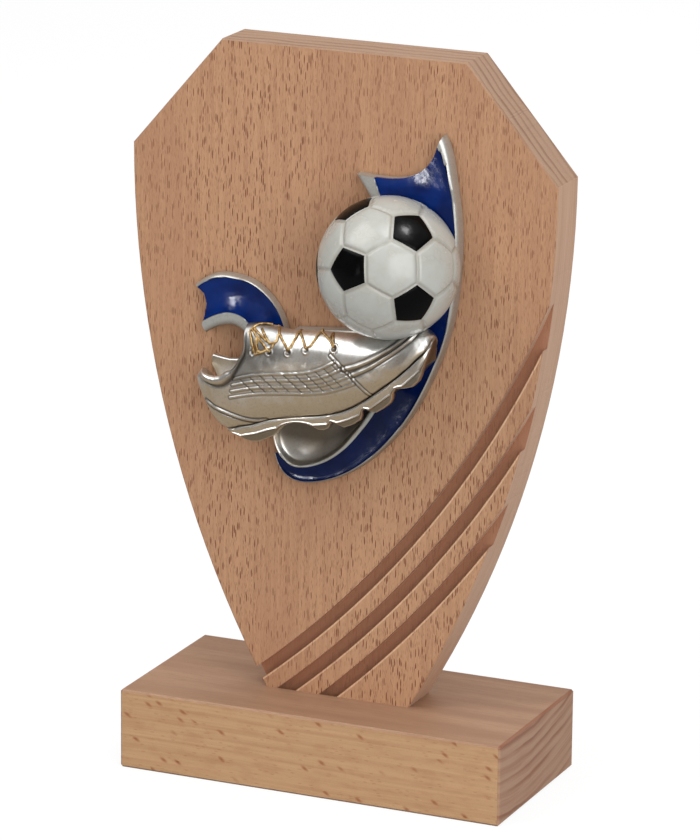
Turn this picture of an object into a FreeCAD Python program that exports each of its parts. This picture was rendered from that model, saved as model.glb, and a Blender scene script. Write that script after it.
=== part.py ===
import FreeCAD, Part
import math
import os
from FreeCAD import Vector, Placement, Rotation

# Wooden football trophy: a beech shield board stands in a mortise of a beech base block, held by two
# countersunk screws from below. A cast and painted emblem (ribbon, boot and ball) is stuck on its face.
# Frame: +Z up, X along the base's long side, front of the board towards -Y, origin under the base's centre.

# Base block
base_width = 100.0
base_depth = 48.0
base_height = 20.0
base_edge_chamfer = 0.5

# Shield board
board_thickness = 13.0
board_top_z = 180.0
board_top_half_width = 31.4
shoulder_z = 152.6
shoulder_half_width = 54.8
side_arc_radius = 263.0
board_edge_chamfer = 0.3
mortise_depth = 8.0
mortise_clearance = 0.05

# Three milled grooves, arcs about one centre outside the board
groove_centre_x = -174.7
groove_centre_z = 217.6
first_groove_radius = 246.4
groove_width = 3.1
groove_pitch = 7.15
groove_count = 3
groove_depth = 2.8

# Wood screws through the base into the board's foot
screw_spacing = 20.0
screw_shank_radius = 1.75
screw_head_radius = 3.5
screw_head_height = 2.0
screw_length = 30.0
screw_point_length = 5.0
screw_sink = 0.6
screw_hole_clearance = 0.2
pilot_clearance = 0.03
cross_recess_reach = 1.9
cross_recess_width = 0.7
cross_recess_depth = 1.3

# Emblem: its design square on the board and its layers, measured from the board's face
emblem_span = 100.0
emblem_x = 0.0
emblem_z = 118.0
pad_thickness = 0.4
ribbon_height = 3.4
field_depth = 1.4
enamel_below_rim = 0.1
outer_rim_drop = 0.5
scoop_radius = 27.0
scoop_depth = 2.8

# Ball
ball_radius = 17.15
ball_centre_height = 9.5
pentagon_seam_width = 0.6
panel_seat_depth = 0.8
ball_turn_axis = Vector(0.413, 0.892, -0.185)
ball_turn_deg = 240.2

# Boot
boot_length = 64.0
boot_tilt_deg = 30.0
boot_centre_height = 7.5
sole_thickness = 1.5
collar_wall = 1.8
lace_width = 0.6
lace_rise = 0.3
lace_sink = 0.5

# One overrun serves every cutter
overrun = 5.0

# Places in the emblem, as shares of emblem_span from its middle
ball_place_shares = (0.163, 0.133)
boot_place_shares = (-0.24, -0.34)

# Stations along the right sweep of the ribbon: outer edge x, z, inner edge x, z, outer rim, inner rim, sag
sweep_station_shares = [
    (0.230, 0.515, -0.045, 0.470, 0.016, 0.030, 0.008),
    (0.282, 0.430, 0.008, 0.400, 0.016, 0.030, 0.009),
    (0.308, 0.350, 0.052, 0.335, 0.016, 0.030, 0.009),
    (0.322, 0.260, 0.102, 0.258, 0.016, 0.026, 0.009),
    (0.325, 0.160, 0.140, 0.160, 0.016, 0.020, 0.008),
    (0.316, 0.050, 0.160, 0.055, 0.015, 0.018, 0.007),
    (0.293, -0.050, 0.162, -0.040, 0.014, 0.018, 0.006),
    (0.256, -0.145, 0.146, -0.125, 0.013, 0.018, 0.006),
    (0.207, -0.237, 0.112, -0.205, 0.012, 0.016, 0.006),
    (0.146, -0.317, 0.069, -0.277, 0.011, 0.013, 0.005),
    (0.074, -0.381, 0.018, -0.340, 0.009, 0.010, 0.004),
    (-0.006, -0.424, -0.038, -0.380, 0.007, 0.008, 0.003),
    (-0.088, -0.439, -0.092, -0.396, 0.006, 0.006, 0.002),
    (-0.136, -0.414, -0.120, -0.388, 0.005, 0.005, 0.001),
    (-0.155, -0.374, -0.136, -0.371, 0.004, 0.004, 0.001),
]

# Stations along the left flag: upper edge x, z, lower edge x, z, upper rim, lower rim, sag
flag_station_shares = [
    (-0.405, -0.010, -0.375, -0.125, 0.012, 0.032, 0.009),
    (-0.355, 0.032, -0.340, -0.096, 0.012, 0.032, 0.009),
    (-0.314, 0.054, -0.304, -0.076, 0.012, 0.032, 0.009),
    (-0.274, 0.060, -0.272, -0.069, 0.012, 0.032, 0.009),
    (-0.221, 0.052, -0.246, -0.077, 0.012, 0.032, 0.009),
    (-0.176, 0.026, -0.224, -0.098, 0.012, 0.028, 0.009),
    (-0.144, -0.008, -0.202, -0.126, 0.012, 0.024, 0.008),
    (-0.123, -0.054, -0.178, -0.160, 0.012, 0.020, 0.006),
    (-0.112, -0.110, -0.155, -0.195, 0.012, 0.016, 0.004),
]

# Points across the enamel's hollow
enamel_step_shares = (0.0, 0.2, 0.5, 0.8, 1.0)

# Swallow-tail ends of the two ribbon strips, as curves that a cutter follows
sweep_end_shares = [(0.290, 0.475), (0.269, 0.448), (0.250, 0.400), (0.217, 0.358), (0.173, 0.337),
                    (0.102, 0.332), (0.045, 0.336), (-0.050, 0.350)]
flag_end_shares = [(-0.400, 0.040), (-0.367, 0.017), (-0.346, -0.001), (-0.339, -0.025), (-0.343, -0.054),
                   (-0.350, -0.078), (-0.342, -0.093), (-0.300, -0.160)]

# Scoop at the ribbon's turn, and the web that carries boot and ball
cup_edge_shares = [(-0.158, -0.290), (-0.157, -0.335), (-0.142, -0.372), (-0.121, -0.390), (-0.092, -0.399),
                   (-0.036, -0.383), (0.021, -0.343), (0.072, -0.280), (0.115, -0.208)]
cup_inner_shares = [(0.060, -0.190), (-0.080, -0.250)]
scoop_centre_shares = (-0.030, -0.290)
web_outline_shares = [(-0.240, -0.160), (-0.230, -0.250), (-0.150, -0.290), (0.000, -0.280), (0.117, -0.205),
                      (0.151, -0.125), (0.167, -0.040), (0.165, 0.055), (0.145, 0.150), (0.110, 0.060),
                      (0.060, -0.045), (-0.104, -0.060), (-0.107, -0.112), (-0.150, -0.197), (-0.1545, -0.1935),
                      (-0.1766, -0.157), (-0.200, -0.123), (-0.215, -0.140)]

# The ball's panels are drawn on its front, and not in the boot's shadow
shown_side_share = 0.2
hidden_foot_share = -0.7

# Boot sections: place along the boot, bottom, top and half-width, all as shares of boot_length
boot_section_shares = [
    (-0.021, 0.110, 0.300, 0.050),
    (0.004, 0.075, 0.345, 0.078),
    (0.047, 0.041, 0.375, 0.093),
    (0.125, 0.019, 0.370, 0.098),
    (0.219, 0.006, 0.360, 0.097),
    (0.313, -0.025, 0.352, 0.096),
    (0.422, -0.062, 0.290, 0.104),
    (0.531, -0.083, 0.232, 0.115),
    (0.641, -0.078, 0.180, 0.125),
    (0.750, -0.064, 0.136, 0.118),
    (0.835, -0.044, 0.108, 0.094),
    (0.900, -0.024, 0.088, 0.064),
    (0.940, -0.006, 0.066, 0.030),
]
# Half of one boot section: across and up, as shares of the section's half-width and height
boot_girth_shares = [(0.84, 0.00), (0.97, 0.10), (1.00, 0.24), (0.95, 0.46), (0.84, 0.66), (0.66, 0.82), (0.38, 0.94),
                     (0.00, 1.00)]

# Near and far rims of the ankle opening, along and up the boot
near_collar_shares = [(-0.060, 0.285), (0.000, 0.272), (0.045, 0.245), (0.085, 0.212), (0.125, 0.194),
                      (0.165, 0.196), (0.205, 0.220), (0.240, 0.260), (0.275, 0.315), (0.295, 0.420)]
far_collar_shares = [(-0.060, 0.270), (-0.010, 0.278), (0.020, 0.300), (0.038, 0.328), (0.060, 0.322),
                     (0.120, 0.292), (0.180, 0.272), (0.240, 0.300), (0.280, 0.420)]
# Ankle hollow: height up the boot and size of each ring, and the hollow's middle and reach
ankle_ring_shares = [(0.120, 0.45), (0.155, 0.80), (0.200, 1.00), (0.420, 1.15)]
ankle_middle_share = 0.118
ankle_reach_share = 0.104
ankle_side_share = 0.050
ankle_offset_share = -0.011
ankle_sides = 12

# Feather line between upper and sole, and the near side's outline of heel block, arch and blades
welt_shares = [(-0.050, 0.075), (0.050, 0.039), (0.128, 0.019), (0.217, 0.008), (0.338, -0.033), (0.419, -0.062),
               (0.514, -0.081), (0.600, -0.080), (0.677, -0.075), (0.752, -0.064), (0.830, -0.045),
               (0.900, -0.022), (1.000, 0.022)]
heel_block_shares = [(-0.030, 0.090), (0.040, 0.036), (0.056, -0.002), (0.075, -0.027), (0.097, -0.041),
                     (0.141, -0.050), (0.187, -0.052), (0.225, -0.030), (0.240, 0.030), (0.120, 0.060)]
blade_shares = [
    [(0.322, -0.040), (0.352, -0.082), (0.400, -0.118), (0.418, -0.118), (0.440, -0.100), (0.440, -0.040)],
    [(0.442, -0.050), (0.468, -0.133), (0.528, -0.142), (0.546, -0.131), (0.582, -0.102), (0.580, -0.050)],
    [(0.586, -0.060), (0.622, -0.133), (0.696, -0.122), (0.709, -0.120), (0.731, -0.083), (0.731, -0.050)],
    [(0.734, -0.060), (0.784, -0.102), (0.838, -0.096), (0.863, -0.070), (0.890, -0.052), (0.880, -0.020)],
]
blade_width_share = 0.075
# Footprint of the sole: place along the boot and half-width
footprint_shares = [(-0.010, 0.020), (0.020, 0.062), (0.090, 0.086), (0.219, 0.084), (0.340, 0.080), (0.450, 0.094),
                    (0.600, 0.110), (0.740, 0.110), (0.830, 0.090), (0.900, 0.058), (0.948, 0.016)]

# Laces: place along the boot and turn round its section from the near side (0) to the ridge (1)
lace_path_shares = [(0.600, 0.90), (0.593, 0.70), (0.547, 0.95), (0.493, 0.70), (0.473, 0.95), (0.420, 0.70),
                    (0.400, 0.92), (0.340, 0.68), (0.327, 0.93), (0.300, 0.80)]
bow_path_shares = [(0.278, 0.64), (0.300, 0.80), (0.262, 0.72), (0.258, 0.84), (0.300, 0.80), (0.352, 0.88),
                   (0.362, 0.79), (0.300, 0.80), (0.316, 0.70)]

board_front = -board_thickness / 2
board_foot_z = base_height - mortise_depth
emblem_back = board_front - pad_thickness
emblem_front = emblem_back - ribbon_height


def side_half_width(z):
    """Half-width of the board at height z, on its side arc, whose tangent is upright at the shoulder."""
    rise = z - shoulder_z
    return shoulder_half_width - side_arc_radius + math.sqrt(side_arc_radius ** 2 - rise ** 2)


foot_half_width = side_half_width(base_height)


def prism(wire, y_from, y_to):
    """A closed wire in a plane of constant y, carried along Y from y_from to y_to."""
    solid = Part.Face(wire).extrude(Vector(0, y_to - y_from, 0))
    solid.translate(Vector(0, y_from, 0))
    return solid


def closed_polygon(points):
    return Part.makePolygon(points + [points[0]])


def smooth_edge(points):
    curve = Part.BSplineCurve()
    curve.interpolate(points)
    return curve.toShape()


def board_outline():
    """The visible board's outline at y = 0: level foot, two side arcs, sloping shoulders and a flat top."""
    middle_z = (base_height + shoulder_z) / 2
    foot = Vector(foot_half_width, 0, base_height)
    bulge = Vector(side_half_width(middle_z), 0, middle_z)
    shoulder = Vector(shoulder_half_width, 0, shoulder_z)
    top = Vector(board_top_half_width, 0, board_top_z)
    right = [foot, bulge, shoulder, top]
    left = [Vector(-p.x, 0, p.z) for p in right]
    edges = [
        Part.makeLine(left[0], right[0]),
        Part.Arc(right[0], right[1], right[2]).toShape(),
        Part.makeLine(right[2], right[3]),
        Part.makeLine(right[3], left[3]),
        Part.makeLine(left[3], left[2]),
        Part.Arc(left[2], left[1], left[0]).toShape(),
    ]
    return Part.Wire(edges)


def groove_ring(number):
    """A ring sector about the common centre, cut into the board's face."""
    inner = first_groove_radius + number * groove_pitch
    start = Vector(groove_centre_x, board_front - overrun, groove_centre_z)
    along = Vector(0, 1, 0)
    outer_disc = Part.makeCylinder(inner + groove_width, groove_depth + overrun, start, along)
    return outer_disc.cut(Part.makeCylinder(inner, groove_depth + overrun, start, along))


def screw_places():
    return [Vector(side * screw_spacing / 2, 0, screw_sink) for side in (-1, 1)]


def make_board():
    board = prism(board_outline(), board_front, -board_front)
    outline_edges = [e for e in board.Edges if e.BoundBox.YLength < board_edge_chamfer]
    above_base = [e for e in outline_edges if e.BoundBox.ZMax > base_height + overrun]
    board = board.makeChamfer(board_edge_chamfer, above_base)
    foot = Part.makeBox(2 * foot_half_width, board_thickness, mortise_depth,
                        Vector(-foot_half_width, board_front, board_foot_z))
    board = board.fuse(foot)
    for number in range(groove_count):
        board = board.cut(groove_ring(number))
    for place in screw_places():
        hole_radius = screw_shank_radius + pilot_clearance
        hole = Part.makeCylinder(hole_radius, screw_length + screw_sink, Vector(place.x, 0, 0))
        board = board.cut(hole)
    return board


def make_base():
    block = Part.makeBox(base_width, base_depth, base_height, Vector(-base_width / 2, -base_depth / 2, 0))
    block = block.makeChamfer(base_edge_chamfer, block.Edges)
    pocket_x = foot_half_width + mortise_clearance
    pocket_y = board_thickness / 2 + mortise_clearance
    pocket = Part.makeBox(2 * pocket_x, 2 * pocket_y, mortise_depth + overrun,
                          Vector(-pocket_x, -pocket_y, board_foot_z))
    block = block.cut(pocket)
    for place in screw_places():
        block = block.cut(screw_body(place, screw_hole_clearance))
    return block


def screw_body(place, gap):
    """A countersunk wood screw without its cross recess; gap widens it into its own hole."""
    shank = screw_shank_radius + gap
    head = screw_head_radius + gap
    low = -overrun if gap else 0.0
    tip = [Vector(shank, 0, screw_length)] if gap else [
        Vector(shank, 0, screw_length - screw_point_length),
        Vector(0, 0, screw_length),
    ]
    profile = [Vector(0, 0, low), Vector(head, 0, low), Vector(head, 0, 0), Vector(shank, 0, screw_head_height)]
    if not gap:
        profile = [Vector(0, 0, 0), Vector(head, 0, 0), Vector(shank, 0, screw_head_height)]
    profile += tip
    if gap:
        profile.append(Vector(0, 0, screw_length))
    body = Part.Face(closed_polygon(profile)).revolve(Vector(0, 0, 0), Vector(0, 0, 1), 360)
    body.translate(place)
    return body


def make_screws():
    screws = []
    for place in screw_places():
        screw = screw_body(place, 0.0)
        for reach_x, reach_y in ((cross_recess_reach, cross_recess_width), (cross_recess_width, cross_recess_reach)):
            corner = Vector(place.x - reach_x, -reach_y, place.z - cross_recess_depth)
            slot = Part.makeBox(2 * reach_x, 2 * reach_y, 2 * cross_recess_depth, corner)
            screw = screw.cut(slot)
        screws.append(screw)
    return Part.makeCompound(screws)


def in_emblem(share_x, share_z, y):
    return Vector(emblem_x + share_x * emblem_span, y, emblem_z + share_z * emblem_span)


def strip_lofts(station_shares):
    """A ribbon strip with a rim at each edge, and the enamel that lies hollow between the rims."""
    body_rings = []
    enamel_rings = []
    for out_x, out_z, in_x, in_z, out_rim, in_rim, sag in station_shares:
        outer = in_emblem(out_x, out_z, 0)
        inner = in_emblem(in_x, in_z, 0)
        across = (outer - inner).normalize()
        field_in = inner + across * (in_rim * emblem_span)
        field_out = outer - across * (out_rim * emblem_span)
        body_rings.append(ring_at([
            (inner, emblem_back), (inner, emblem_front), (field_in, emblem_front),
            (field_in, emblem_front + field_depth), (field_out, emblem_front + field_depth),
            (field_out, emblem_front), (outer, emblem_front + outer_rim_drop), (outer, emblem_back),
        ]))
        enamel = [(field_out, emblem_front + field_depth), (field_in, emblem_front + field_depth)]
        for share in enamel_step_shares:
            hollow = 4 * share * (1 - share) * sag * emblem_span
            place = field_in + (field_out - field_in) * share
            enamel.append((place, emblem_front + enamel_below_rim + hollow))
        enamel_rings.append(ring_at(enamel))
    return Part.makeLoft(body_rings, True, True), Part.makeLoft(enamel_rings, True, True)


def ring_at(places):
    return closed_polygon([place + Vector(0, y, 0) for place, y in places])


def end_cutter(end_shares, far_share_x, far_share_z):
    """A prism beyond a smooth swallow-tail curve; its far corners lie outside the strip."""
    curve = [in_emblem(x, z, 0) for x, z in end_shares]
    first, last = curve[0], curve[-1]
    far_first = Vector(first.x + far_share_x * emblem_span, 0, first.z + far_share_z * emblem_span)
    far_last = Vector(last.x + far_share_x * emblem_span, 0, last.z + far_share_z * emblem_span)
    wire = Part.Wire([smooth_edge(curve), Part.makeLine(last, far_last), Part.makeLine(far_last, far_first),
                      Part.makeLine(far_first, first)])
    return prism(wire, emblem_back - ribbon_height - overrun, emblem_back + overrun)


def web_plate():
    outline = [in_emblem(x, z, 0) for x, z in web_outline_shares]
    return prism(closed_polygon(outline), emblem_back, emblem_front)


def cup_plate():
    """The scoop's plate, whose outer edge is one smooth curve."""
    curve = [in_emblem(x, z, 0) for x, z in cup_edge_shares]
    inner = [curve[-1]] + [in_emblem(x, z, 0) for x, z in cup_inner_shares] + [curve[0]]
    lines = [Part.makeLine(a, b) for a, b in zip(inner, inner[1:])]
    return prism(Part.Wire([smooth_edge(curve)] + lines), emblem_back, emblem_front)


def make_web():
    """The plate between the strips, hollowed into a round scoop below the boot."""
    scoop_centre = in_emblem(scoop_centre_shares[0], scoop_centre_shares[1],
                             emblem_front + scoop_depth - scoop_radius)
    return web_plate().fuse(cup_plate()).cut(Part.makeSphere(scoop_radius, scoop_centre))


def make_ribbon():
    """The silver ribbon casting with its web and scoop, and the blue enamel in its two fields."""
    sweep, sweep_enamel = strip_lofts(sweep_station_shares)
    flag, flag_enamel = strip_lofts(flag_station_shares)
    sweep_end = end_cutter(sweep_end_shares, 0.0, 0.3)
    flag_end = end_cutter(flag_end_shares, -0.3, 0.0)
    sweep, sweep_enamel = sweep.cut(sweep_end), sweep_enamel.cut(sweep_end)
    flag, flag_enamel = flag.cut(flag_end), flag_enamel.cut(flag_end)
    casting = sweep.fuse([flag, make_web()])
    return casting, Part.makeCompound([sweep_enamel, flag_enamel])


def boot_frame():
    """Boot space: X along the sole from the heel, Z up through the ankle, Y as in the part."""
    origin = in_emblem(boot_place_shares[0], boot_place_shares[1], emblem_back - boot_centre_height)
    return Placement(origin, Rotation(Vector(0, 1, 0), -boot_tilt_deg))


def boot_point(along, up, y=0.0):
    return Vector(along * boot_length, y, up * boot_length)


def section_points(bottom, top, half_width):
    """One boot section from the near foot over the ridge to the far foot, as (y, z) pairs."""
    near = [(-across * half_width, bottom + up * (top - bottom)) for across, up in boot_girth_shares]
    far = [(-y, z) for y, z in reversed(near[:-1])]
    return near + far


def boot_section(along, bottom, top, half_width):
    points = section_points(bottom, top, half_width)
    return closed_polygon([boot_point(along, z, y * boot_length) for y, z in points])


def make_last():
    return Part.makeLoft([boot_section(*row) for row in boot_section_shares], True, False)


def opening_cutter(rim_shares, y_from, y_to):
    rim = [boot_point(along, up) for along, up in rim_shares]
    high = boot_length * 0.6
    wire = Part.Wire([smooth_edge(rim), Part.makeLine(rim[-1], Vector(rim[-1].x, 0, high)),
                      Part.makeLine(Vector(rim[-1].x, 0, high), Vector(rim[0].x, 0, high)),
                      Part.makeLine(Vector(rim[0].x, 0, high), rim[0])])
    return prism(wire, y_from, y_to)


def front_half(depth):
    """Everything in front of a plane that lies depth behind the boot's middle, in boot space."""
    size = 2 * boot_length
    return Part.makeBox(2 * size, size, 2 * size, Vector(-size, depth - size, -size))


def make_upper():
    last = make_last()
    back = boot_centre_height - ribbon_height
    wall_front = back - collar_wall
    last = last.common(front_half(back))
    last = last.cut(opening_cutter(near_collar_shares, -boot_length, wall_front))
    last = last.cut(opening_cutter(far_collar_shares, wall_front - overrun, back + overrun))
    last = last.cut(ankle_hollow())
    below = sole_band(boot_length)
    last = last.cut(below)
    return last


def ankle_hollow():
    rings = []
    for up, size in ankle_ring_shares:
        points = []
        for number in range(ankle_sides):
            turn = 2 * math.pi * number / ankle_sides
            along = ankle_middle_share + ankle_reach_share * size * math.cos(turn)
            sideways = ankle_offset_share + ankle_side_share * size * math.sin(turn)
            points.append(boot_point(along, up, sideways * boot_length))
        rings.append(closed_polygon(points))
    return Part.makeLoft(rings, True, True)


def sole_band(depth):
    """The space from the feather line down by depth, across the whole boot."""
    line = [boot_point(along, up) for along, up in welt_shares]
    low_first = line[0] - Vector(0, 0, depth)
    low_last = line[-1] - Vector(0, 0, depth)
    lower = smooth_edge([p - Vector(0, 0, depth) for p in line])
    wire = Part.Wire([smooth_edge(line), Part.makeLine(line[-1], low_last), lower,
                      Part.makeLine(low_first, line[0])])
    return prism(wire, -boot_length, boot_length)


def footprint(grow):
    near = [Vector(along * boot_length, -half * boot_length - grow, 0) for along, half in footprint_shares]
    far = [Vector(p.x, -p.y, 0) for p in reversed(near)]
    wire = Part.Wire([smooth_edge(near), Part.makeLine(near[-1], far[0]), smooth_edge(far),
                      Part.makeLine(far[-1], near[0])])
    face = Part.Face(wire)
    solid = face.extrude(Vector(0, 0, boot_length))
    solid.translate(Vector(0, 0, -boot_length / 2))
    return solid


def make_sole():
    """Sole plate, heel block and a row of four blades at the shown edge, all inside one footprint."""
    shape = sole_band(sole_thickness)
    heel = closed_polygon([boot_point(along, up) for along, up in heel_block_shares])
    shape = shape.fuse(prism(heel, -boot_length, boot_length))
    blade_width = blade_width_share * boot_length
    reach = max(half for along, half in footprint_shares) * boot_length
    for outline in blade_shares:
        wire = closed_polygon([boot_point(along, up) for along, up in outline])
        shape = shape.fuse(prism(wire, -reach, -reach + blade_width))
    shape = shape.common(footprint(0.0))
    above = sole_band(boot_length)
    shape = shape.common(above)
    back = boot_centre_height - ribbon_height
    return shape.common(front_half(back))


def girth_place(along, turn):
    """A point on the boot's skin: turn 0 is the near foot and 1 is the ridge."""
    rows = boot_section_shares
    low = max(i for i, row in enumerate(rows[:-1]) if row[0] <= along)
    share = (along - rows[low][0]) / (rows[low + 1][0] - rows[low][0])
    bottom, top, half = [rows[low][i] + share * (rows[low + 1][i] - rows[low][i]) for i in (1, 2, 3)]
    near = section_points(bottom, top, half)[:len(boot_girth_shares)]
    curve = smooth_edge([boot_point(along, z, y * boot_length) for y, z in near])
    return curve.valueAt(curve.FirstParameter + turn * (curve.LastParameter - curve.FirstParameter))


def lace_bar(start, end):
    """A flat bar from start to end, lying half in the boot's skin, whose outward side faces up and forward."""
    along = (end - start).normalize()
    outward = Vector(0, -1, 1)
    outward = (outward - along * outward.dot(along)).normalize()
    sideways = along.cross(outward) * (lace_width / 2)
    low = start - along * (lace_width / 2) - outward * lace_sink
    far = end - start + along * lace_width
    face = Part.Face(closed_polygon([low - sideways, low + sideways, low + sideways + far, low - sideways + far]))
    return face.extrude(outward * (lace_sink + lace_rise))


def lace(path_shares):
    """One lace laid on the boot's skin, bent once between each eyelet and the ridge."""
    turns = []
    for (along_a, turn_a), (along_b, turn_b) in zip(path_shares, path_shares[1:]):
        turns += [(along_a, turn_a), ((along_a + along_b) / 2, (turn_a + turn_b) / 2)]
    turns.append(path_shares[-1])
    points = [girth_place(along, turn) for along, turn in turns]
    return [lace_bar(a, b) for a, b in zip(points, points[1:])]


def make_laces():
    bars = lace(lace_path_shares) + lace(bow_path_shares)
    return bars[0].fuse(bars[1:])


def main_solid(shape):
    """The largest solid of a cut shape, without slivers beyond a cut."""
    return max(shape.Solids, key=lambda s: s.Volume)


def icosahedron():
    golden = (1 + math.sqrt(5)) / 2
    corners = []
    for a in (-1, 1):
        for b in (-golden, golden):
            corners += [Vector(0, a, b), Vector(a, b, 0), Vector(b, 0, a)]
    turn = Rotation(ball_turn_axis, ball_turn_deg)
    return [turn.multVec(c).normalize() for c in corners]


def pentagons_of_ball():
    """A football is an icosahedron with its corners cut off: corner and outline directions of each pentagon."""
    corners = icosahedron()
    side = min((corners[0] - c).Length for c in corners[1:])
    pentagons = []
    for c in corners:
        nearby = [d for d in corners if 0 < (c - d).Length < 1.2 * side]
        pentagons.append((c, ring_order([(c * 2 + d).normalize() for d in nearby], c)))
    return pentagons


def ring_order(points, middle):
    first = (points[0] - middle * points[0].dot(middle)).normalize()
    second = middle.cross(first)
    return sorted(points, key=lambda p: math.atan2(p.dot(second), p.dot(first)))


def frustum(directions, centre, near, far):
    """The space between two polygons that lie along the same directions from the ball's centre."""
    low = [centre + d * near for d in directions]
    high = [centre + d * far for d in directions]
    faces = [Part.Face(closed_polygon([low[i - 1], low[i], high[i], high[i - 1]])) for i in range(len(low))]
    faces += [Part.Face(closed_polygon(low)), Part.Face(closed_polygon(high))]
    return Part.makeSolid(Part.makeShell(faces))


def drawn_in(directions, middle):
    """The pentagon's corner directions, each moved towards its middle by the seam's width."""
    moved = []
    for d in directions:
        inward = (middle - d * middle.dot(d)).normalize()
        moved.append((d + inward * (pentagon_seam_width / ball_radius)).normalize())
    return moved


def make_ball():
    """The white ball, and the black pentagons seated in its shallow pockets."""
    centre = in_emblem(ball_place_shares[0], ball_place_shares[1], board_front - ball_centre_height)
    sphere = Part.makeSphere(ball_radius, centre, Vector(0, -1, 0))
    front = Part.makeBox(emblem_span, emblem_span, emblem_span,
                         Vector(centre.x - emblem_span / 2, emblem_front - emblem_span,
                                centre.z - emblem_span / 2))
    sphere = sphere.common(front)
    near = ball_radius - panel_seat_depth
    far = ball_radius + overrun
    cutters = []
    black = []
    for middle, directions in pentagons_of_ball():
        if middle.y < shown_side_share and middle.z > hidden_foot_share:
            cutters.append(frustum(directions, centre, near, far))
            black.append(sphere.common(frustum(drawn_in(directions, middle), centre, near, far)))
    return sphere.cut(cutters), black


def make_pads():
    """Double-sided pads between emblem and board, inside the outline of what they hold."""
    pads = []
    for places in pad_outline_shares:
        wire = closed_polygon([in_emblem(x, z, 0) for x, z in places])
        pads.append(prism(wire, board_front, emblem_back))
    return Part.makeCompound(pads)


pad_outline_shares = [
    [(-0.195, -0.175), (-0.185, -0.240), (0.060, -0.220), (0.060, -0.090), (-0.130, -0.090)],
    [(0.195, 0.020), (0.290, 0.020), (0.290, 0.210), (0.130, 0.210)],
]


def save(name, shape):
    shape.exportStep(f"parts/{name}.step")
    volume = sum(s.Volume for s in shape.Solids)
    print(f"{name}: {len(shape.Solids)} solids, {len(shape.Faces)} faces, {volume:.1f} mm3, valid {shape.isValid()}")


def main():
    os.makedirs("parts", exist_ok=True)
    save("base_block", make_base())
    save("shield_board", make_board())
    save("base_screws", make_screws())
    save("adhesive_pads", make_pads())
    ribbon, enamel = make_ribbon()
    save("ribbon", ribbon)
    save("ribbon_enamel", enamel)
    upper = make_upper()
    sole = make_sole()
    laces = make_laces()
    laced_upper = main_solid(upper.cut(laces))
    for piece in (upper, sole, laces, laced_upper):
        piece.Placement = boot_frame()
    save("boot_upper", laced_upper)
    save("boot_sole", sole)
    save("boot_laces", laces)
    ball, pentagons = make_ball()
    save("ball", ball.cut([upper, sole]))
    save("ball_pentagons", Part.makeCompound([clear_of(p, [upper, sole]) for p in pentagons]))


def clear_of(piece, neighbours):
    """A piece cut by those neighbours that it meets."""
    near = [n for n in neighbours if n.BoundBox.intersect(piece.BoundBox) and n.distToShape(piece)[0] == 0]
    return piece.cut(near) if near else piece


if __name__ == "__main__":
    main()
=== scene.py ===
import math
import bmesh
import bpy
import numpy as np
from mathutils import Matrix, Vector


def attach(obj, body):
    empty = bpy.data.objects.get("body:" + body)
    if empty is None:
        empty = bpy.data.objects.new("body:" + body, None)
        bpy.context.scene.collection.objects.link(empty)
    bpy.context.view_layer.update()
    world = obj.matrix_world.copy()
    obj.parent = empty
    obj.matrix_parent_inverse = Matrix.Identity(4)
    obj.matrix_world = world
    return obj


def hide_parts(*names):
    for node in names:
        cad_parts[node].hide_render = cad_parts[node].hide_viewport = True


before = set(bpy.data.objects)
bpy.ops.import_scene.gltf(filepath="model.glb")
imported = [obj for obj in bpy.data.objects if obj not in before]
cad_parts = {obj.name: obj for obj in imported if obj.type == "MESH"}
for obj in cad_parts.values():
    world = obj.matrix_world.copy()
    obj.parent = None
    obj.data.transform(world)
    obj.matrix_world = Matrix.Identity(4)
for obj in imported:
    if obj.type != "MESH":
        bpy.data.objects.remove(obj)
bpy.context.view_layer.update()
print("frame loaded")


class Field:  # a value that changes from point to point; plus, minus and times on it become Math nodes
    def __init__(self, socket):
        self.socket = socket
        self.tree = socket.id_data

    def math(self, operation, other=0.0):
        node = self.tree.nodes.new("ShaderNodeMath")
        node.operation = operation
        put(node.inputs[0], self)
        put(node.inputs[1], other)
        return Field(node.outputs[0])

    def __add__(self, other):
        return self.math("ADD", other)

    def __sub__(self, other):
        return self.math("SUBTRACT", other)

    def __rsub__(self, other):
        return self * -1.0 + other

    def __mul__(self, other):
        return self.math("MULTIPLY", other)

    def __mod__(self, other):
        return self.math("FLOORED_MODULO", other)

    def __lt__(self, other):
        return self.math("LESS_THAN", other)

    def __abs__(self):
        return self.math("ABSOLUTE")

    def clamped(self):  # its own Math node, held between 0 and 1
        self.socket.node.use_clamp = True
        return self

    def ramp(self, low, high, toLow=0.0, toHigh=1.0):  # a smooth step from toLow at low to toHigh at high
        node = self.tree.nodes.new("ShaderNodeMapRange")
        node.interpolation_type = "SMOOTHSTEP"
        put(node.inputs["Value"], self)
        for end, value in (("From Min", low), ("From Max", high), ("To Min", toLow), ("To Max", toHigh)):
            put(node.inputs[end], value)
        return Field(node.outputs["Result"])


def put(target, value):  # links a field to a socket, or sets a constant on it
    if isinstance(value, Field):
        target.id_data.links.new(value.socket, target)
    else:
        target.default_value = value


def mix(share, a, b):
    node = share.tree.nodes.new("ShaderNodeMix")
    node.data_type = "RGBA"
    put(node.inputs["Factor"], share)
    put(node.inputs["A"], a)
    put(node.inputs["B"], b)
    return Field(node.outputs["Result"])


def xyz(tree, output="Object", scale=1000.0):  # object coordinates in millimetres, one field for each axis
    coords = tree.nodes.new("ShaderNodeTexCoord")
    parts = tree.nodes.new("ShaderNodeSeparateXYZ")
    tree.links.new(coords.outputs[output], parts.inputs[0])
    return [Field(part) * scale for part in parts.outputs]


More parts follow.
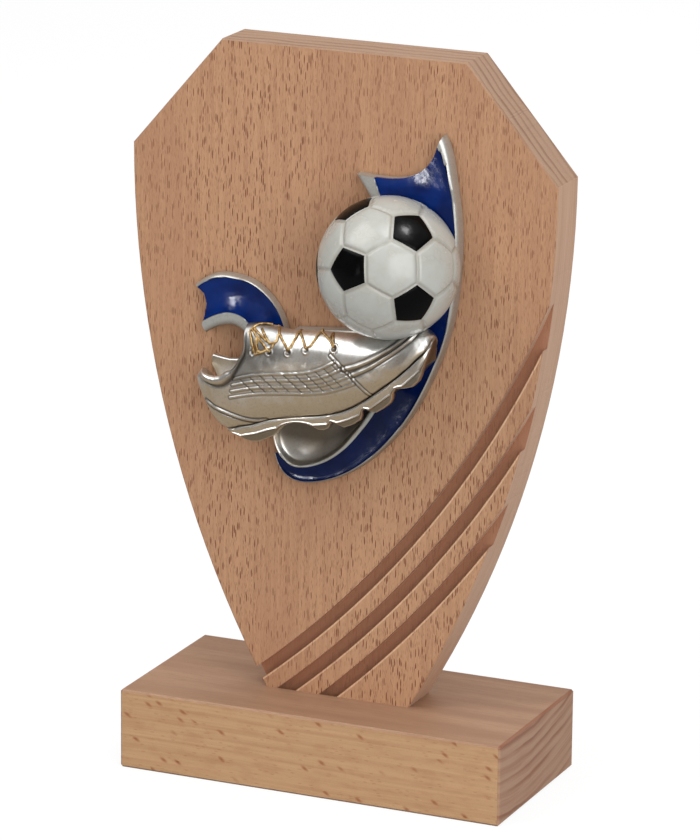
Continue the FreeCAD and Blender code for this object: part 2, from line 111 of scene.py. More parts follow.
def vector(places, cell):  # the axes, each divided by the size of a pattern cell along it
    node = places[0].tree.nodes.new("ShaderNodeCombineXYZ")
    for target, place, size in zip(node.inputs, places, np.broadcast_to(cell, len(places)).tolist()):
        put(target, place * (1.0 / size))
    return Field(node.outputs[0])


def noise(places, cell, detail=2.0, rough=0.5):
    node = places[0].tree.nodes.new("ShaderNodeTexNoise")
    put(node.inputs["Vector"], vector(places, cell))
    for name, value in (("Scale", 1.0), ("Detail", detail), ("Roughness", rough)):
        node.inputs[name].default_value = value
    return Field(node.outputs["Fac"])


def dashes(across, along, cell, keep, near=0.14, far=0.34):
    # long cells of a flat Voronoi pattern; a dash lies at the middle of each, and a share of them is kept
    tree = across.tree
    node = tree.nodes.new("ShaderNodeTexVoronoi")
    node.voronoi_dimensions = "2D"
    node.inputs["Scale"].default_value = 1.0
    put(node.inputs["Vector"], vector((across, along), cell))
    parts = tree.nodes.new("ShaderNodeSeparateColor")
    tree.links.new(node.outputs["Color"], parts.inputs["Color"])
    dash = Field(node.outputs["Distance"]).ramp(near, far, 1.0, 0.0)
    return dash * Field(parts.outputs["Red"]).ramp(1 - keep, 1 - 0.6 * keep)


def attribute(tree, name):
    node = tree.nodes.new("ShaderNodeAttribute")
    node.attribute_name = name
    return Field(node.outputs["Fac"])


def newMaterial(name):
    mat = bpy.data.materials.new(name)
    mat.use_nodes = True
    tree = mat.node_tree
    tree.nodes.clear()
    out = tree.nodes.new("ShaderNodeOutputMaterial")
    shader = tree.nodes.new("ShaderNodeBsdfPrincipled")
    tree.links.new(shader.outputs["BSDF"], out.inputs["Surface"])
    return mat, tree, shader


def dress(shader, color, rough, height, depth, plain):
    # colour, roughness and relief (in metres) vary over the piece; plain holds what is the same all over
    put(shader.inputs["Base Color"], color)
    put(shader.inputs["Roughness"], rough)
    for name, value in plain.items():
        shader.inputs[name].default_value = value
    node = height.tree.nodes.new("ShaderNodeBump")
    node.inputs["Strength"].default_value = 1.0
    node.inputs["Distance"].default_value = depth
    put(node.inputs["Height"], height)
    put(shader.inputs["Normal"], Field(node.outputs["Normal"]))


def rgb(r, g, b):  # screen colour 0-255 to a linear colour
    return tuple(((c / 255 + 0.055) / 1.055) ** 2.4 for c in (r, g, b)) + (1.0,)


# lip is the colour of a painted highlight along the milled arcs' lower edges
# cells are the sizes in millimetres of a pattern's spots along x, y and z
boardFinish = {"light": rgb(190, 147, 113), "dark": rgb(177, 133, 102), "fleck": rgb(116, 62, 38),
               "side": rgb(198, 162, 137), "sideLine": rgb(186, 149, 123), "end": rgb(168, 136, 112),
               "ring": rgb(126, 90, 68), "toast": rgb(168, 117, 90), "lip": rgb(226, 188, 154), "rough": 0.6,
               "wanderCell": (9, 9, 30), "broadCell": (13, 13, 120), "fineCell": (0.75, 0.75, 26),
               "poreCell": (0.16, 0.16, 1.6), "sideCell": (6, 0.35, 40), "gritCell": 0.3,
               "bigFleck": (0.42, 3.6), "smallFleck": (0.22, 1.9), "ringGap": 2.9, "relief": 0.00004}
# the milled arcs are bands of radii about a middle far to the left of the board
arcMarks = {"middleX": -174.7, "middleZ": 217.6, "radius": 246.4, "pitch": 7.15, "width": 3.1, "count": 3,
            "face": -6.4, "depth": 2.8, "fibreCell": (0.16, 3.0, 2.5), "torn": 0.45, "soft": 0.05}


def markArcs(color, at, fine):
    # within a band of radii, below the face, the wood is scorched; torn fibres stand along each arc's upper
    # edge, longer towards the board's right side, and along its lower edge a pale band is a painted highlight,
    # where the rounded edge would catch the light
    s, m = boardFinish, arcMarks
    x, y, z = at
    dx, dz = x - m["middleX"], z - m["middleZ"]
    out = (dx * dx + dz * dz).math("SQRT") - m["radius"]
    turn = out % m["pitch"]
    face, width, last = m["face"], m["width"], (m["count"] - 1) * m["pitch"] + m["width"]
    within = out.ramp(-1.3, -1.2) * out.ramp(last, last + m["soft"], 1.0, 0.0)
    scorch = y.ramp(face - 0.06, face) * y.ramp(face + m["depth"], face + m["depth"] + 0.1, 1.0, 0.0) * within
    scorch = scorch * turn.ramp(width - 0.10, width - 0.02, 1.0, 0.28)
    scorch = scorch * turn.ramp(width + 0.02, width + 0.08, 1.0, 0.0)
    color = mix(scorch * fine.ramp(0.3, 0.7, 0.70, 1.0), color, s["toast"])
    fibre = noise(at, m["fibreCell"], 1.0)
    onFace = y < face
    length = fibre.ramp(0.42, 0.72) * x.ramp(-20.0, 45.0, 0.25, 1.25)
    torn = (m["pitch"] - turn < length) * within * onFace
    color = mix(torn * m["torn"], color, s["fleck"])
    # painted highlight: a pale band just past each arc's lower edge
    lip = turn.ramp(width, width + 0.1) * turn.ramp(width + 0.3, width + 0.5, 1.0, 0.0)
    lip = lip * out.ramp(0.0, 0.1) * out.ramp(last + 0.60, last + 0.65, 1.0, 0.0)
    return mix(lip * fibre.ramp(0.30, 0.60, 0.3, 0.75) * onFace, color, s["lip"])


def makeBoardWood():
    # flat-sawn beech: short dark flecks along z on the faces, quiet lines along z on the sides, and growth
    # rings on the sawn top
    s = boardFinish
    mat, tree, shader = newMaterial("board beech")
    x, y, z = at = xyz(tree)
    facing = xyz(tree, "Normal", 1.0)
    wander = noise(at, s["wanderCell"])
    across = x + wander * 0.5
    broad = noise(at, s["broadCell"])
    fine = noise((across, y, z), s["fineCell"], 2.0, 0.6)
    pores = noise(at, s["poreCell"], 1.0)
    color = mix((broad * 0.45 + fine * 0.55).ramp(0.36, 0.64), s["dark"], s["light"])
    color = mix(pores.ramp(0.54, 0.70) * 0.25, color, s["fleck"])
    big = dashes(across, z, s["bigFleck"], 0.31, 0.23, 0.34)
    small = dashes(across + 31.7, z, s["smallFleck"], 0.32)
    dash = (big * 0.95 + small * 0.55).clamped() * broad.ramp(0.40, 0.58, 0.62, 1.0)
    color = mix(dash, color, s["fleck"])
    # growth rings lie one behind another and come a little forward towards both sides
    depth = y + wander * 3.0 + x * x * 0.0004
    phase = depth % s["ringGap"]
    ring = phase.ramp(0.9, 2.2) * phase.ramp(2.3, 2.75, 1.0, 0.0)
    ring = ring * noise((x, depth, z), (30, s["ringGap"], 30), 1.0).ramp(0.35, 0.62, 0.25, 1.0)
    grit = noise(at, s["gritCell"], 1.0).ramp(0.5, 0.75)
    end = mix(ring * 0.72 + grit * 0.25, s["end"], s["ring"])
    side = mix(noise(at, s["sideCell"], 2.0, 0.6).ramp(0.40, 0.66), s["side"], s["sideLine"])
    side = mix(ring * 0.40, side, s["sideLine"])
    color = mix(abs(facing[1]).ramp(0.60, 0.72, 1.0, 0.0), color, side)
    color = mix(facing[2].ramp(0.38, 0.50), color, end)
    color = markArcs(color, at, fine)
    rough = fine.ramp(0.2, 0.8, s["rough"] - 0.08, s["rough"] + 0.08)
    dress(shader, color, rough, fine * 0.5 - (dash + pores), s["relief"], {"Specular IOR Level": 0.25})
    return mat


# the top's colours are darker than the front's partly for the grain and partly as painted shade, for the dimmer
# light on the top
baseFinish = {"light": rgb(196, 157, 118), "dark": rgb(184, 144, 106), "fleck": rgb(150, 90, 56),
              "top": rgb(170, 134, 107), "topDark": rgb(146, 110, 86), "end": rgb(172, 136, 111),
              "ring": rgb(132, 82, 58), "ringGap": 2.9, "bowlMiddle": 9.0, "bowl": 0.0043, "rough": 0.5,
              "wanderCell": (60, 14, 14), "fineCell": (34, 16, 0.6), "poreCell": (0.5, 0.2, 0.2),
              "patchCell": (7, 5, 2.2), "streakCell": (60, 5.0, 6), "hairCell": (9, 0.22, 3),
              "ray": (2.0, 4.6), "smallRay": (0.6, 2.2), "topFleck": (0.40, 4.2), "relief": 0.00003,
              "endX": 49.2, "topZ": 19.2}


def makeBaseWood():
    # the block lies with its growth rings as shallow bowls, z = z0 + bowl (y + middle)^2: level lines on the
    # front, bowls on the ends, long streaks along x on the top, and a few slanted ray flecks on the front
    s = baseFinish
    mat, tree, shader = newMaterial("base beech")
    x, y, z = at = xyz(tree)
    facing = xyz(tree, "Normal", 1.0)
    aside = y + s["bowlMiddle"]
    level = z - aside * aside * s["bowl"] + noise(at, s["wanderCell"]) * 1.8
    phase = level % s["ringGap"]
    ring = phase.ramp(0.9, 2.2) * phase.ramp(2.35, 2.75, 1.0, 0.0)
    ring = ring * noise((x, y, level), (40, 26, 3.4), 1.0).ramp(0.30, 0.62, 0.25, 1.0)
    fine = noise((x, y, level), s["fineCell"])
    pores = noise(at, s["poreCell"], 1.0)
    rays = dashes(x * 0.50 + z * 0.87, x * 0.87 - z * 0.50, s["ray"], 0.15, 0.02, 0.34)  # leaning 30 degrees
    rays = (rays * 0.85 + dashes(z + 17.3, x, s["smallRay"], 0.22) * 0.28).clamped()
    front = mix(fine.ramp(0.25, 0.85), s["light"], s["dark"])
    patch = noise(at, s["patchCell"], 2.0, 0.6)
    for share in (patch.ramp(0.45, 0.75) * 0.20, ring * 0.16, pores.ramp(0.56, 0.70) * 0.14, rays):
        front = mix(share, front, s["fleck"])
    # the top: its streaks are grain, and its darker tone is partly painted shade
    top = mix(noise(at, s["streakCell"], 1.0).ramp(0.20, 0.95), s["top"], s["topDark"])
    for share in (noise(at, s["hairCell"], 1.0).ramp(0.45, 0.72), dashes(y, x, s["topFleck"], 0.40)):
        top = mix(share * 0.60, top, s["topDark"])
    end = mix(ring * 0.75, s["end"], s["ring"])
    end = mix(fine.ramp(0.45, 0.75) * 0.28, end, s["ring"])
    color = mix(abs(facing[2]).ramp(0.60, 0.74), front, top)
    color = mix(abs(facing[0]).ramp(0.60, 0.74), color, end)
    corner = abs(x).ramp(s["endX"], s["endX"] + 0.35) * z.ramp(s["topZ"], s["topZ"] + 0.35)  # darker along the edges where the ends meet the top
    color = mix(corner * 0.7, color, s["ring"])
    rough = fine.ramp(0.2, 0.8, s["rough"] - 0.06, s["rough"] + 0.08)
    dress(shader, color, rough, fine * 0.5 - (rays + pores), s["relief"], {"Specular IOR Level": 0.3})
    return mat


# low and high: how far up a face looks where the painted top light sets in, and where it is full; the warm tone
# on faces that look down is a painted reflection, and it also tints the cast speckle
bootMetal = {"paintedTopLight": (0.84, 0.84, 0.82, 1), "warm": (0.54, 0.42, 0.28, 1), "low": -0.15, "high": 0.45,
             "rough": 0.31, "metal": 1.0, "paintedDarkReflection": 0.72}
rimMetal = {"paintedTopLight": (0.52, 0.52, 0.49, 1), "warm": (0.32, 0.29, 0.24, 1), "low": -0.70, "high": 0.20,
            "rough": 0.33, "metal": 0.68, "paintedDarkReflection": 0.0}
# hollow darkens the cast grain and colours the painted shade in the hollows; the grey here is a painted dark
# reflection
castMetal = {"hollow": (0.060, 0.046, 0.032, 1), "paintedDarkReflection": (0.17, 0.17, 0.165, 1), "cloudCell": 5,
             "castCell": 1.1, "grainCell": 0.5, "relief": 0.00005}


def makeSilver(name, s):
    # cast metal with painted light: lighter where it faces up, a painted warm reflection where it faces down,
    # and painted shade in the hollows
    mat, tree, shader = newMaterial(name)
    x, y, z = at = xyz(tree)
    cloud = noise(at, castMetal["cloudCell"])
    cast = noise(at, castMetal["castCell"], 3.0, 0.6)
    # painted light and reflection: the colour goes from the warm tone where a face looks down to the painted top
    # light where it looks up
    up = xyz(tree, "Normal", 1.0)[2] + (cloud - 0.5) * 0.25
    color = mix(up.ramp(s["low"], s["high"]), s["warm"], s["paintedTopLight"])
    color = mix(cast.ramp(0.45, 0.75) * 0.08, color, s["warm"])
    grain = noise(at, castMetal["grainCell"], 2.0, 0.7).ramp(0.48, 0.72)
    color = mix(grain * 0.16, color, castMetal["hollow"])
    if s["paintedDarkReflection"]:  # painted dark reflection: grey about the ankle and thinner over the toe; the boot leans 30 degrees
        along = x * 0.866 + z * 0.5
        rise = z * 0.866 + x * -0.5
        ankle = along.ramp(53.0, 43.0) * rise.ramp(95.0, 98.5) * along.ramp(28.0, 33.0)
        toe = along.ramp(69.0, 77.0) * 0.45
        color = mix(ankle.math("MAXIMUM", toe) * s["paintedDarkReflection"], color, castMetal["paintedDarkReflection"])
    # painted shade: the crease attribute darkens grooves, hollows and undersides towards the hollow colour
    color = mix(attribute(tree, "crease") * 0.85, color, castMetal["hollow"])
    rough = cast.ramp(0.3, 0.7, s["rough"] - 0.02, s["rough"] + 0.03)
    dress(shader, color, rough, cast * 0.10 + cloud, castMetal["relief"], {"Metallic": s["metal"]})
    return mat


blueFinish = {"deep": rgb(0, 24, 78), "light": rgb(0, 38, 106), "low": rgb(0, 12, 44), "lowShare": 0.75,
              "lowFrom": 112.0, "lowTo": 98.0, "cloudCell": 7, "orangeCell": 1.4, "rough": 0.13,
              "relief": 0.00016}


def makeBlue():  # enamel with a slight orange peel, darker towards the low end
    s = blueFinish
    mat, tree, shader = newMaterial("navy enamel")
    at = xyz(tree)
    cloud = noise(at, s["cloudCell"])
    orange = noise(at, s["orangeCell"], 1.0)
    color = mix(cloud.ramp(0.35, 0.65), s["deep"], s["light"])
    color = mix(at[2].ramp(s["lowFrom"], s["lowTo"], 0.0, s["lowShare"]), color, s["low"])
    rough = orange.ramp(0.3, 0.7, s["rough"] - 0.03, s["rough"] + 0.05)
    dress(shader, color, rough, cloud + orange * 0.16, s["relief"], {"Specular IOR Level": 0.17})
    return mat


def makeWhite():  # milky enamel, greyer along the seams
    mat, tree, shader = newMaterial("white enamel")
    cloud = noise(xyz(tree), 6, 3.0, 0.6)
    color = mix(cloud.ramp(0.35, 0.68), rgb(182, 183, 177), rgb(175, 174, 166))
    seam = attribute(tree, "seam").ramp(0.15, 0.95, 1.0, 0.0)
    color = mix(seam * 0.5, color, rgb(150, 145, 134))
    dress(shader, color, cloud.ramp(0.3, 0.7, 0.20, 0.30), cloud, 0.00006, {"Coat Weight": 0.2})
    return mat


# one paint or metal each, clouded between two colours
plainFinish = {
    "black enamel": {"light": rgb(7, 7, 7), "dark": rgb(2, 2, 2), "cell": 2.2, "noise": (2.0, 0.5),
                     "ramp": None, "rough": (0.16, 0.26), "relief": 0.00006,
                     "plain": {"Specular IOR Level": 0.07}},
    "bronze gold paint": {"light": rgb(202, 172, 122), "dark": rgb(138, 106, 62), "cell": 0.9,
                          "noise": (2.0, 0.5), "ramp": (0.38, 0.66), "rough": (0.28, 0.42), "relief": 0.00006,
                          "plain": {"Metallic": 0.85}},
    "screw steel": {"light": rgb(178, 176, 168), "dark": rgb(150, 147, 140), "cell": 0.4, "noise": (3.0, 0.6),
                    "ramp": (0.3, 0.7), "rough": (0.29, 0.41), "relief": 0.00005, "plain": {"Metallic": 1.0}},
    "pad foam": {"light": rgb(228, 228, 222), "dark": rgb(206, 205, 198), "cell": 0.3, "noise": (3.0, 0.6),
                 "ramp": (0.3, 0.7), "rough": (0.74, 0.86), "relief": 0.00005, "plain": {"Metallic": 0.0}},
}


def makePlain(name):
    s = plainFinish[name]
    mat, tree, shader = newMaterial(name)
    cloud = noise(xyz(tree), s["cell"], *s["noise"])
    color = mix(cloud.ramp(*s["ramp"]) if s["ramp"] else cloud, s["dark"], s["light"])
    dress(shader, color, cloud.ramp(0.3, 0.7, *s["rough"]), cloud, s["relief"], s["plain"])
    return mat


boardWood = makeBoardWood()
baseWood = makeBaseWood()
bootSilver = makeSilver("boot silver", bootMetal)
rimSilver = makeSilver("ribbon silver", rimMetal)
blue = makeBlue()
white = makeWhite()
black, gold, steel, foam = [makePlain(name) for name in plainFinish]
nodeLooks = {"base_block": baseWood, "shield_board": boardWood, "base_screws": steel, "adhesive_pads": foam}
for nodeName, look in nodeLooks.items():
    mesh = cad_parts[nodeName].data
    mesh.materials.clear()
    mesh.materials.append(look)
print("materials done")


# all sizes below are millimetres in the part's frame
def spline(knots, values, x):  # natural cubic curve through the values at the knots, read at x
    knots, values, x = np.asarray(knots, float), np.asarray(values, float), np.asarray(x, float)
    flat = values.reshape(len(knots), -1)
    gap = np.diff(knots)
    count = len(knots)
    system = np.eye(count)
    right = np.zeros_like(flat)
    for i in range(1, count - 1):
        system[i, i - 1:i + 2] = gap[i - 1], 2 * (gap[i - 1] + gap[i]), gap[i]
        right[i] = 6 * ((flat[i + 1] - flat[i]) / gap[i] - (flat[i] - flat[i - 1]) / gap[i - 1])
    bend = np.linalg.solve(system, right)
    i = np.clip(np.searchsorted(knots, x.ravel()) - 1, 0, count - 2)
    h, p = gap[i][:, None], (x.ravel() - knots[i])[:, None]
    q = h - p
    out = (bend[i] * q ** 3 + bend[i + 1] * p ** 3) / (6 * h)
    out = out + (flat[i] / h - bend[i] * h / 6) * q + (flat[i + 1] / h - bend[i + 1] * h / 6) * p
    return out.reshape(x.shape + values.shape[1:])


def smoothLine(points, count):  # a smooth open line of count evenly spaced points through the given ones
    points = np.asarray(points, float)
    walk = np.r_[0, np.cumsum(np.linalg.norm(np.diff(points, axis=0), axis=1))]
    dense = spline(walk, points, np.linspace(0, walk[-1], 12 * count))
    length = np.r_[0, np.cumsum(np.linalg.norm(np.diff(dense, axis=0), axis=1))]
    want = np.linspace(0, length[-1], count)
    return np.stack([np.interp(want, length, dense[:, k]) for k in range(points.shape[1])], 1)


def step(x, low, high):  # 0 below low, 1 above high, and a smooth cubic between
    p = np.clip((x - low) / (high - low), 0, 1)
    return p * p * (3 - 2 * p)


def unit(rows):  # each direction made one unit long
    return rows / np.linalg.norm(rows, axis=-1, keepdims=True)


def lineDistance(points, line):  # distance from each flat point to a line of straight pieces
    points = np.asarray(points)
    best = np.full(points.shape[:-1], 1e9)
    for a, b in zip(line[:-1], line[1:]):
        ab = b - a
        share = np.clip(((points - a) @ ab) / max(ab @ ab, 1e-12), 0, 1)
        best = np.minimum(best, np.linalg.norm(points - a - share[..., None] * ab, axis=-1))
    return best


def gridFaces(rows, cols, wrap=False):  # the quads of a grid of points, row after row
    r = np.arange(rows - 1)[:, None]
    c = np.arange(cols if wrap else cols - 1)[None, :]
    d = (c + 1) % cols
    quad = np.stack([r * cols + c, r * cols + d, (r + 1) * cols + d, (r + 1) * cols + c], -1)
    return quad.reshape(-1, 4)


def addPiece(name, verts, faces, look, smooth, crease=None):
    # a mesh from millimetre points; closed shells get their faces turned outwards
    mesh = bpy.data.meshes.new(name)
    mesh.from_pydata((np.asarray(verts, float) * 0.001).tolist(), [], [list(map(int, f)) for f in faces])
    # crease holds, for each point, how much painted shade darkens it
    if crease is not None:
        store = mesh.attributes.new("crease", "FLOAT", "POINT")
        store.data.foreach_set("value", np.asarray(crease, np.float32))
    work = bmesh.new()
    work.from_mesh(mesh)
    bmesh.ops.remove_doubles(work, verts=work.verts, dist=1e-6)
    bmesh.ops.recalc_face_normals(work, faces=work.faces)
    work.to_mesh(mesh)
    work.free()
    mesh.materials.append(look)
    obj = bpy.data.objects.new(name, mesh)
    bpy.context.scene.collection.objects.link(obj)
    mesh.shade_smooth()
    mesh.set_sharp_from_angle(angle=math.radians(smooth))
    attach(obj, "root")
    return obj


def tubeOfRings(rings):  # a closed shell from rings of equal length, closed at both ends onto a middle point
    rings = np.asarray(rings)
    rows, cols = rings.shape[:2]
    verts = np.vstack([rings.reshape(-1, 3), rings[0].mean(0), rings[-1].mean(0)])
    faces = gridFaces(rows, cols, wrap=True).tolist()
    first, last = rows * cols, rows * cols + 1
    for k in range(cols):
        n = (k + 1) % cols
        faces.append([first, n, k])
        faces.append([last, (rows - 1) * cols + k, (rows - 1) * cols + n])
    return verts, faces


def joined(shells):  # several shells of points and faces as one
    verts, faces, start = [], [], 0
    for points, sides in shells:
        verts.append(points)
        faces += [[start + k for k in side] for side in sides]
        start += len(points)
    return np.vstack(verts), faces


def slab(plan, front, back):  # a plate whose front follows a grid: plan has x and z, front and back have y
    rows, cols = front.shape
    near = np.stack([plan[..., 0], front, plan[..., 1]], -1)
    far = np.stack([plan[..., 0], np.broadcast_to(back, front.shape), plan[..., 1]], -1)
    rings = np.concatenate([near, far[:, ::-1]], 1)
    verts = rings.reshape(-1, 3)
    count = 2 * cols
    faces = gridFaces(rows, count, wrap=True).tolist()
    for row in (0, rows - 1):
        base = row * count
        for k in range(cols - 1):
            faces.append([base + k, base + k + 1, base + count - 2 - k, base + count - 1 - k])
    return verts, faces


# the emblem's outlines are shares of the trophy's width, measured from a point on the board's middle line
emblemSizes = {"width": 100.0, "middleZ": 118.0}


def onBoard(share):  # emblem shares to x and z
    return np.asarray(share, float) * emblemSizes["width"] + np.array([0, emblemSizes["middleZ"]])


# ribbon: two strips with a rim at each edge, and enamel lying hollow between the rims
ribbonSizes = {"back": -6.9, "front": -10.3, "field": 1.2, "bead": 2.2, "inset": 1.2, "round": 0.9,
               "roll": 1.7, "wall": 0.15, "thinnest": 0.3, "overlap": 0.08, "meniscus": 0.12,
               "meniscusWidth": 0.4, "rows": 260}
flagWave = {"crest": -28.0, "half": 12.0, "fall": 0.9}
# outer edge x, z, inner edge x, z, outer rim, inner rim, sag
sweepTable = np.array([
    (0.230, 0.515, -0.045, 0.470, 0.046, 0.062, 0.004),
    (0.282, 0.430, 0.008, 0.400, 0.029, 0.057, 0.005),
    (0.308, 0.350, 0.052, 0.335, 0.020, 0.046, 0.006),
    (0.322, 0.260, 0.102, 0.258, 0.018, 0.026, 0.006),
    (0.325, 0.160, 0.140, 0.160, 0.018, 0.020, 0.004),
    (0.316, 0.050, 0.160, 0.055, 0.017, 0.018, 0.003),
    (0.293, -0.050, 0.162, -0.040, 0.014, 0.018, 0.002),
    (0.256, -0.145, 0.146, -0.125, 0.013, 0.018, 0.002),
    (0.207, -0.237, 0.112, -0.205, 0.012, 0.016, 0.002),
    (0.146, -0.317, 0.069, -0.277, 0.011, 0.013, 0.002),
    (0.074, -0.381, 0.018, -0.340, 0.009, 0.010, 0.001),
    (-0.006, -0.424, -0.038, -0.380, 0.007, 0.008, 0.001),
    (-0.088, -0.439, -0.092, -0.396, 0.006, 0.006, 0.002),
    (-0.136, -0.414, -0.120, -0.388, 0.005, 0.005, 0.001),
    (-0.155, -0.374, -0.136, -0.371, 0.004, 0.004, 0.001)]) * emblemSizes["width"]
flagTable = np.array([
    (-0.405, -0.010, -0.375, -0.125, 0.012, 0.032, 0.004),
    (-0.355, 0.032, -0.340, -0.096, 0.012, 0.032, 0.004),
    (-0.314, 0.054, -0.304, -0.076, 0.012, 0.032, 0.004),
    (-0.274, 0.060, -0.272, -0.069, 0.012, 0.032, 0.004),
    (-0.221, 0.052, -0.246, -0.077, 0.012, 0.032, 0.004),
    (-0.176, 0.026, -0.224, -0.098, 0.012, 0.028, 0.004),
    (-0.144, -0.008, -0.202, -0.126, 0.012, 0.024, 0.004),
    (-0.123, -0.054, -0.178, -0.160, 0.012, 0.020, 0.003),
    (-0.112, -0.110, -0.155, -0.195, 0.012, 0.016, 0.002)]) * emblemSizes["width"]
sweepEnd = np.array([(29.0, 47.5), (26.9, 44.8), (25.0, 40.0), (21.7, 35.8), (17.3, 33.7), (10.2, 33.2),
                     (4.5, 33.6), (-5.0, 35.0)])
sweepEnd = smoothLine(sweepEnd, 80)[::-1]
flagEnd = np.array([(-40.0, 4.0), (-36.7, 1.7), (-34.6, -0.1), (-33.9, -2.5), (-34.3, -5.4), (-35.0, -7.8),
                    (-34.2, -9.3), (-30.0, -16.0)])[::-1]


def stripPlan(table, beyond, across, rows):
    # outline grid of a strip that starts at its swallow-tail end; beyond tells how far a point is past it
    knots = np.arange(len(table), dtype=float)
    low, high = np.zeros(len(across)), np.full(len(across), 4.0)
    for turn in range(40):
        middle = (low + high) / 2
        edge = spline(knots, table, middle)
        point = edge[:, 2:4] + (edge[:, 0:2] - edge[:, 2:4]) * across[:, None]
        past = beyond(point) > 0
        low, high = np.where(past, middle, low), np.where(past, high, middle)
    start = (low + high) / 2
    along = start[None, :] + (knots[-1] - start[None, :]) * np.linspace(0, 1, rows)[:, None]
    edge = spline(knots, table, along)
    point = edge[..., 2:4] + (edge[..., 0:2] - edge[..., 2:4]) * across[None, :, None]
    width = np.linalg.norm(edge[..., 0:2] - edge[..., 2:4], axis=-1)
    return point + np.array([0, emblemSizes["middleZ"]]), width, edge


def drawnIn(table):
    # the outer rim's foot lies further in than its crest, most where the edge faces right and up
    way = unit(np.gradient(table[:, 0:2], axis=0))
    out = np.stack([way[:, 1], -way[:, 0]], -1)
    out *= np.sign(np.sum(out * (table[:, 0:2] - table[:, 2:4]), axis=1))[:, None]
    towards = np.clip(out @ np.array([0.855, 0.518]), 0, 1)
    inset = ribbonSizes["inset"] * towards * (1 - 0.6 * step(table[:, 1], 33, 43))
    table = table.copy()
    table[:, 0:2] -= out * inset[:, None]
    table[:, 4] = np.maximum(table[:, 4] - 0.75 * inset, 0.5)
    return table


def betweenRims(table):  # the same strip, narrowed to the field between its rims
    across = unit(table[:, 0:2] - table[:, 2:4])
    table = table.copy()
    table[:, 0:2] -= across * (table[:, 4:5] - ribbonSizes["overlap"])
    table[:, 2:4] += across * (table[:, 5:6] - ribbonSizes["overlap"])
    return table


def makeStrip(name, table, beyond, wave):
    # a grid along and across the strip: its front is flat, rounded off at both edges, lower by the field's depth
    # between the rims, and follows the wave; the enamel is a second grid between the rims, whose front sags as a
    # parabola across and climbs a little at the rims
    s = ribbonSizes
    table = drawnIn(table)
    ends = np.array([0, 0.004, 0.012, 0.025, 0.04, 0.06, 0.08, 0.1, 0.115, 0.13, 0.145, 0.16, 0.175, 0.19,
                     0.21, 0.23, 0.25, 0.27, 0.3])
    across = np.r_[ends, np.linspace(0.3, 0.7, 22)[1:-1], 1 - ends[::-1]]
    plan, width, edge = stripPlan(table, beyond, across, s["rows"])
    fromIn = width * across
    fromOut = width * (1 - across)
    rimIn, rimOut = edge[..., 5], edge[..., 4]
    # each edge falls away as a quarter ellipse: small on the inner rim, a deep bead on the outer one
    height = np.zeros_like(fromIn)
    edges = ((fromIn, np.minimum(s["roll"], rimIn * 0.55), np.minimum(s["round"], rimIn * 0.32)),
             (fromOut, rimOut * 0.85, np.minimum(s["bead"], rimOut * 1.7)))
    for distance, wide, deep in edges:
        inside = np.clip(1 - distance / wide, 0, 1)
        height += deep * (1 - np.sqrt(np.clip(1 - inside ** 2, 0, 1)))
    wall = s["wall"]
    field = step(fromIn, rimIn - wall, rimIn + wall) * step(fromOut, rimOut - wall, rimOut + wall)
    front = s["front"] + height + field * s["field"] + wave(plan[..., 0])
    front = np.minimum(front, s["back"] - s["thinnest"])
    verts, faces = slab(plan, front, s["back"])
    body = addPiece(name, verts, faces, rimSilver, 50)
    share = np.r_[0, 0.02, 0.05, 0.09, np.linspace(0.14, 0.86, 26), 0.91, 0.95, 0.98, 1]
    plan, width, edge = stripPlan(betweenRims(table), beyond, share, s["rows"])
    meniscus = s["meniscus"] * np.exp(-np.minimum(share, 1 - share) * width / s["meniscusWidth"])
    hollow = edge[..., 6] * (1 - (2 * share - 1) ** 2) + s["wall"] - meniscus
    lift = wave(plan[..., 0])
    verts, faces = slab(plan, s["front"] + hollow + lift, s["front"] + s["field"] + 0.1 + lift)
    enamel = addPiece(name + "_enamel", verts, faces, blue, 50)
    return body, enamel


def flagBend(x):  # the flag bulges forward along an upright line and falls back by half a cosine on each side
    w = flagWave
    return w["fall"] * (1 - np.cos(np.pi * np.clip((x - w["crest"]) / w["half"], -1, 1))) / 2


def pastHornEnd(p):  # how far a point lies beyond the horn's end line
    return p[:, 1] - np.interp(p[:, 0], sweepEnd[:, 0], sweepEnd[:, 1])


def pastFlagEnd(p):  # the same for the flag, whose end line stands upright
    return np.interp(p[:, 1], flagEnd[:, 1], flagEnd[:, 0]) - p[:, 0]


horn, hornEnamel = makeStrip("ribbon_sweep", sweepTable, pastHornEnd, lambda x: 0.0 * x)
flag, flagEnamel = makeStrip("ribbon_flag", flagTable, pastFlagEnd, flagBend)
print("ribbon strips done")

# scoop: a hollow that falls from its rim towards a middle point
scoopSizes = {"middle": (-3.5, 90.0), "floor": 2.7, "bowl": 7.0, "lip": 1.2, "turns": 220, "rings": 50,
              "shadeLine": ((-14.1, -9.6, -3.1, 2.1, 9.9), (85.5, 84.8, 84.9, 87.5, 95.2))}
scoopRim = onBoard([(-0.158, -0.290), (-0.157, -0.330), (-0.142, -0.372), (-0.121, -0.391), (-0.092, -0.399),
                    (-0.036, -0.383), (0.021, -0.343), (0.072, -0.280), (0.115, -0.208), (0.090, -0.150),
                    (0.0, -0.165), (-0.10, -0.21)])


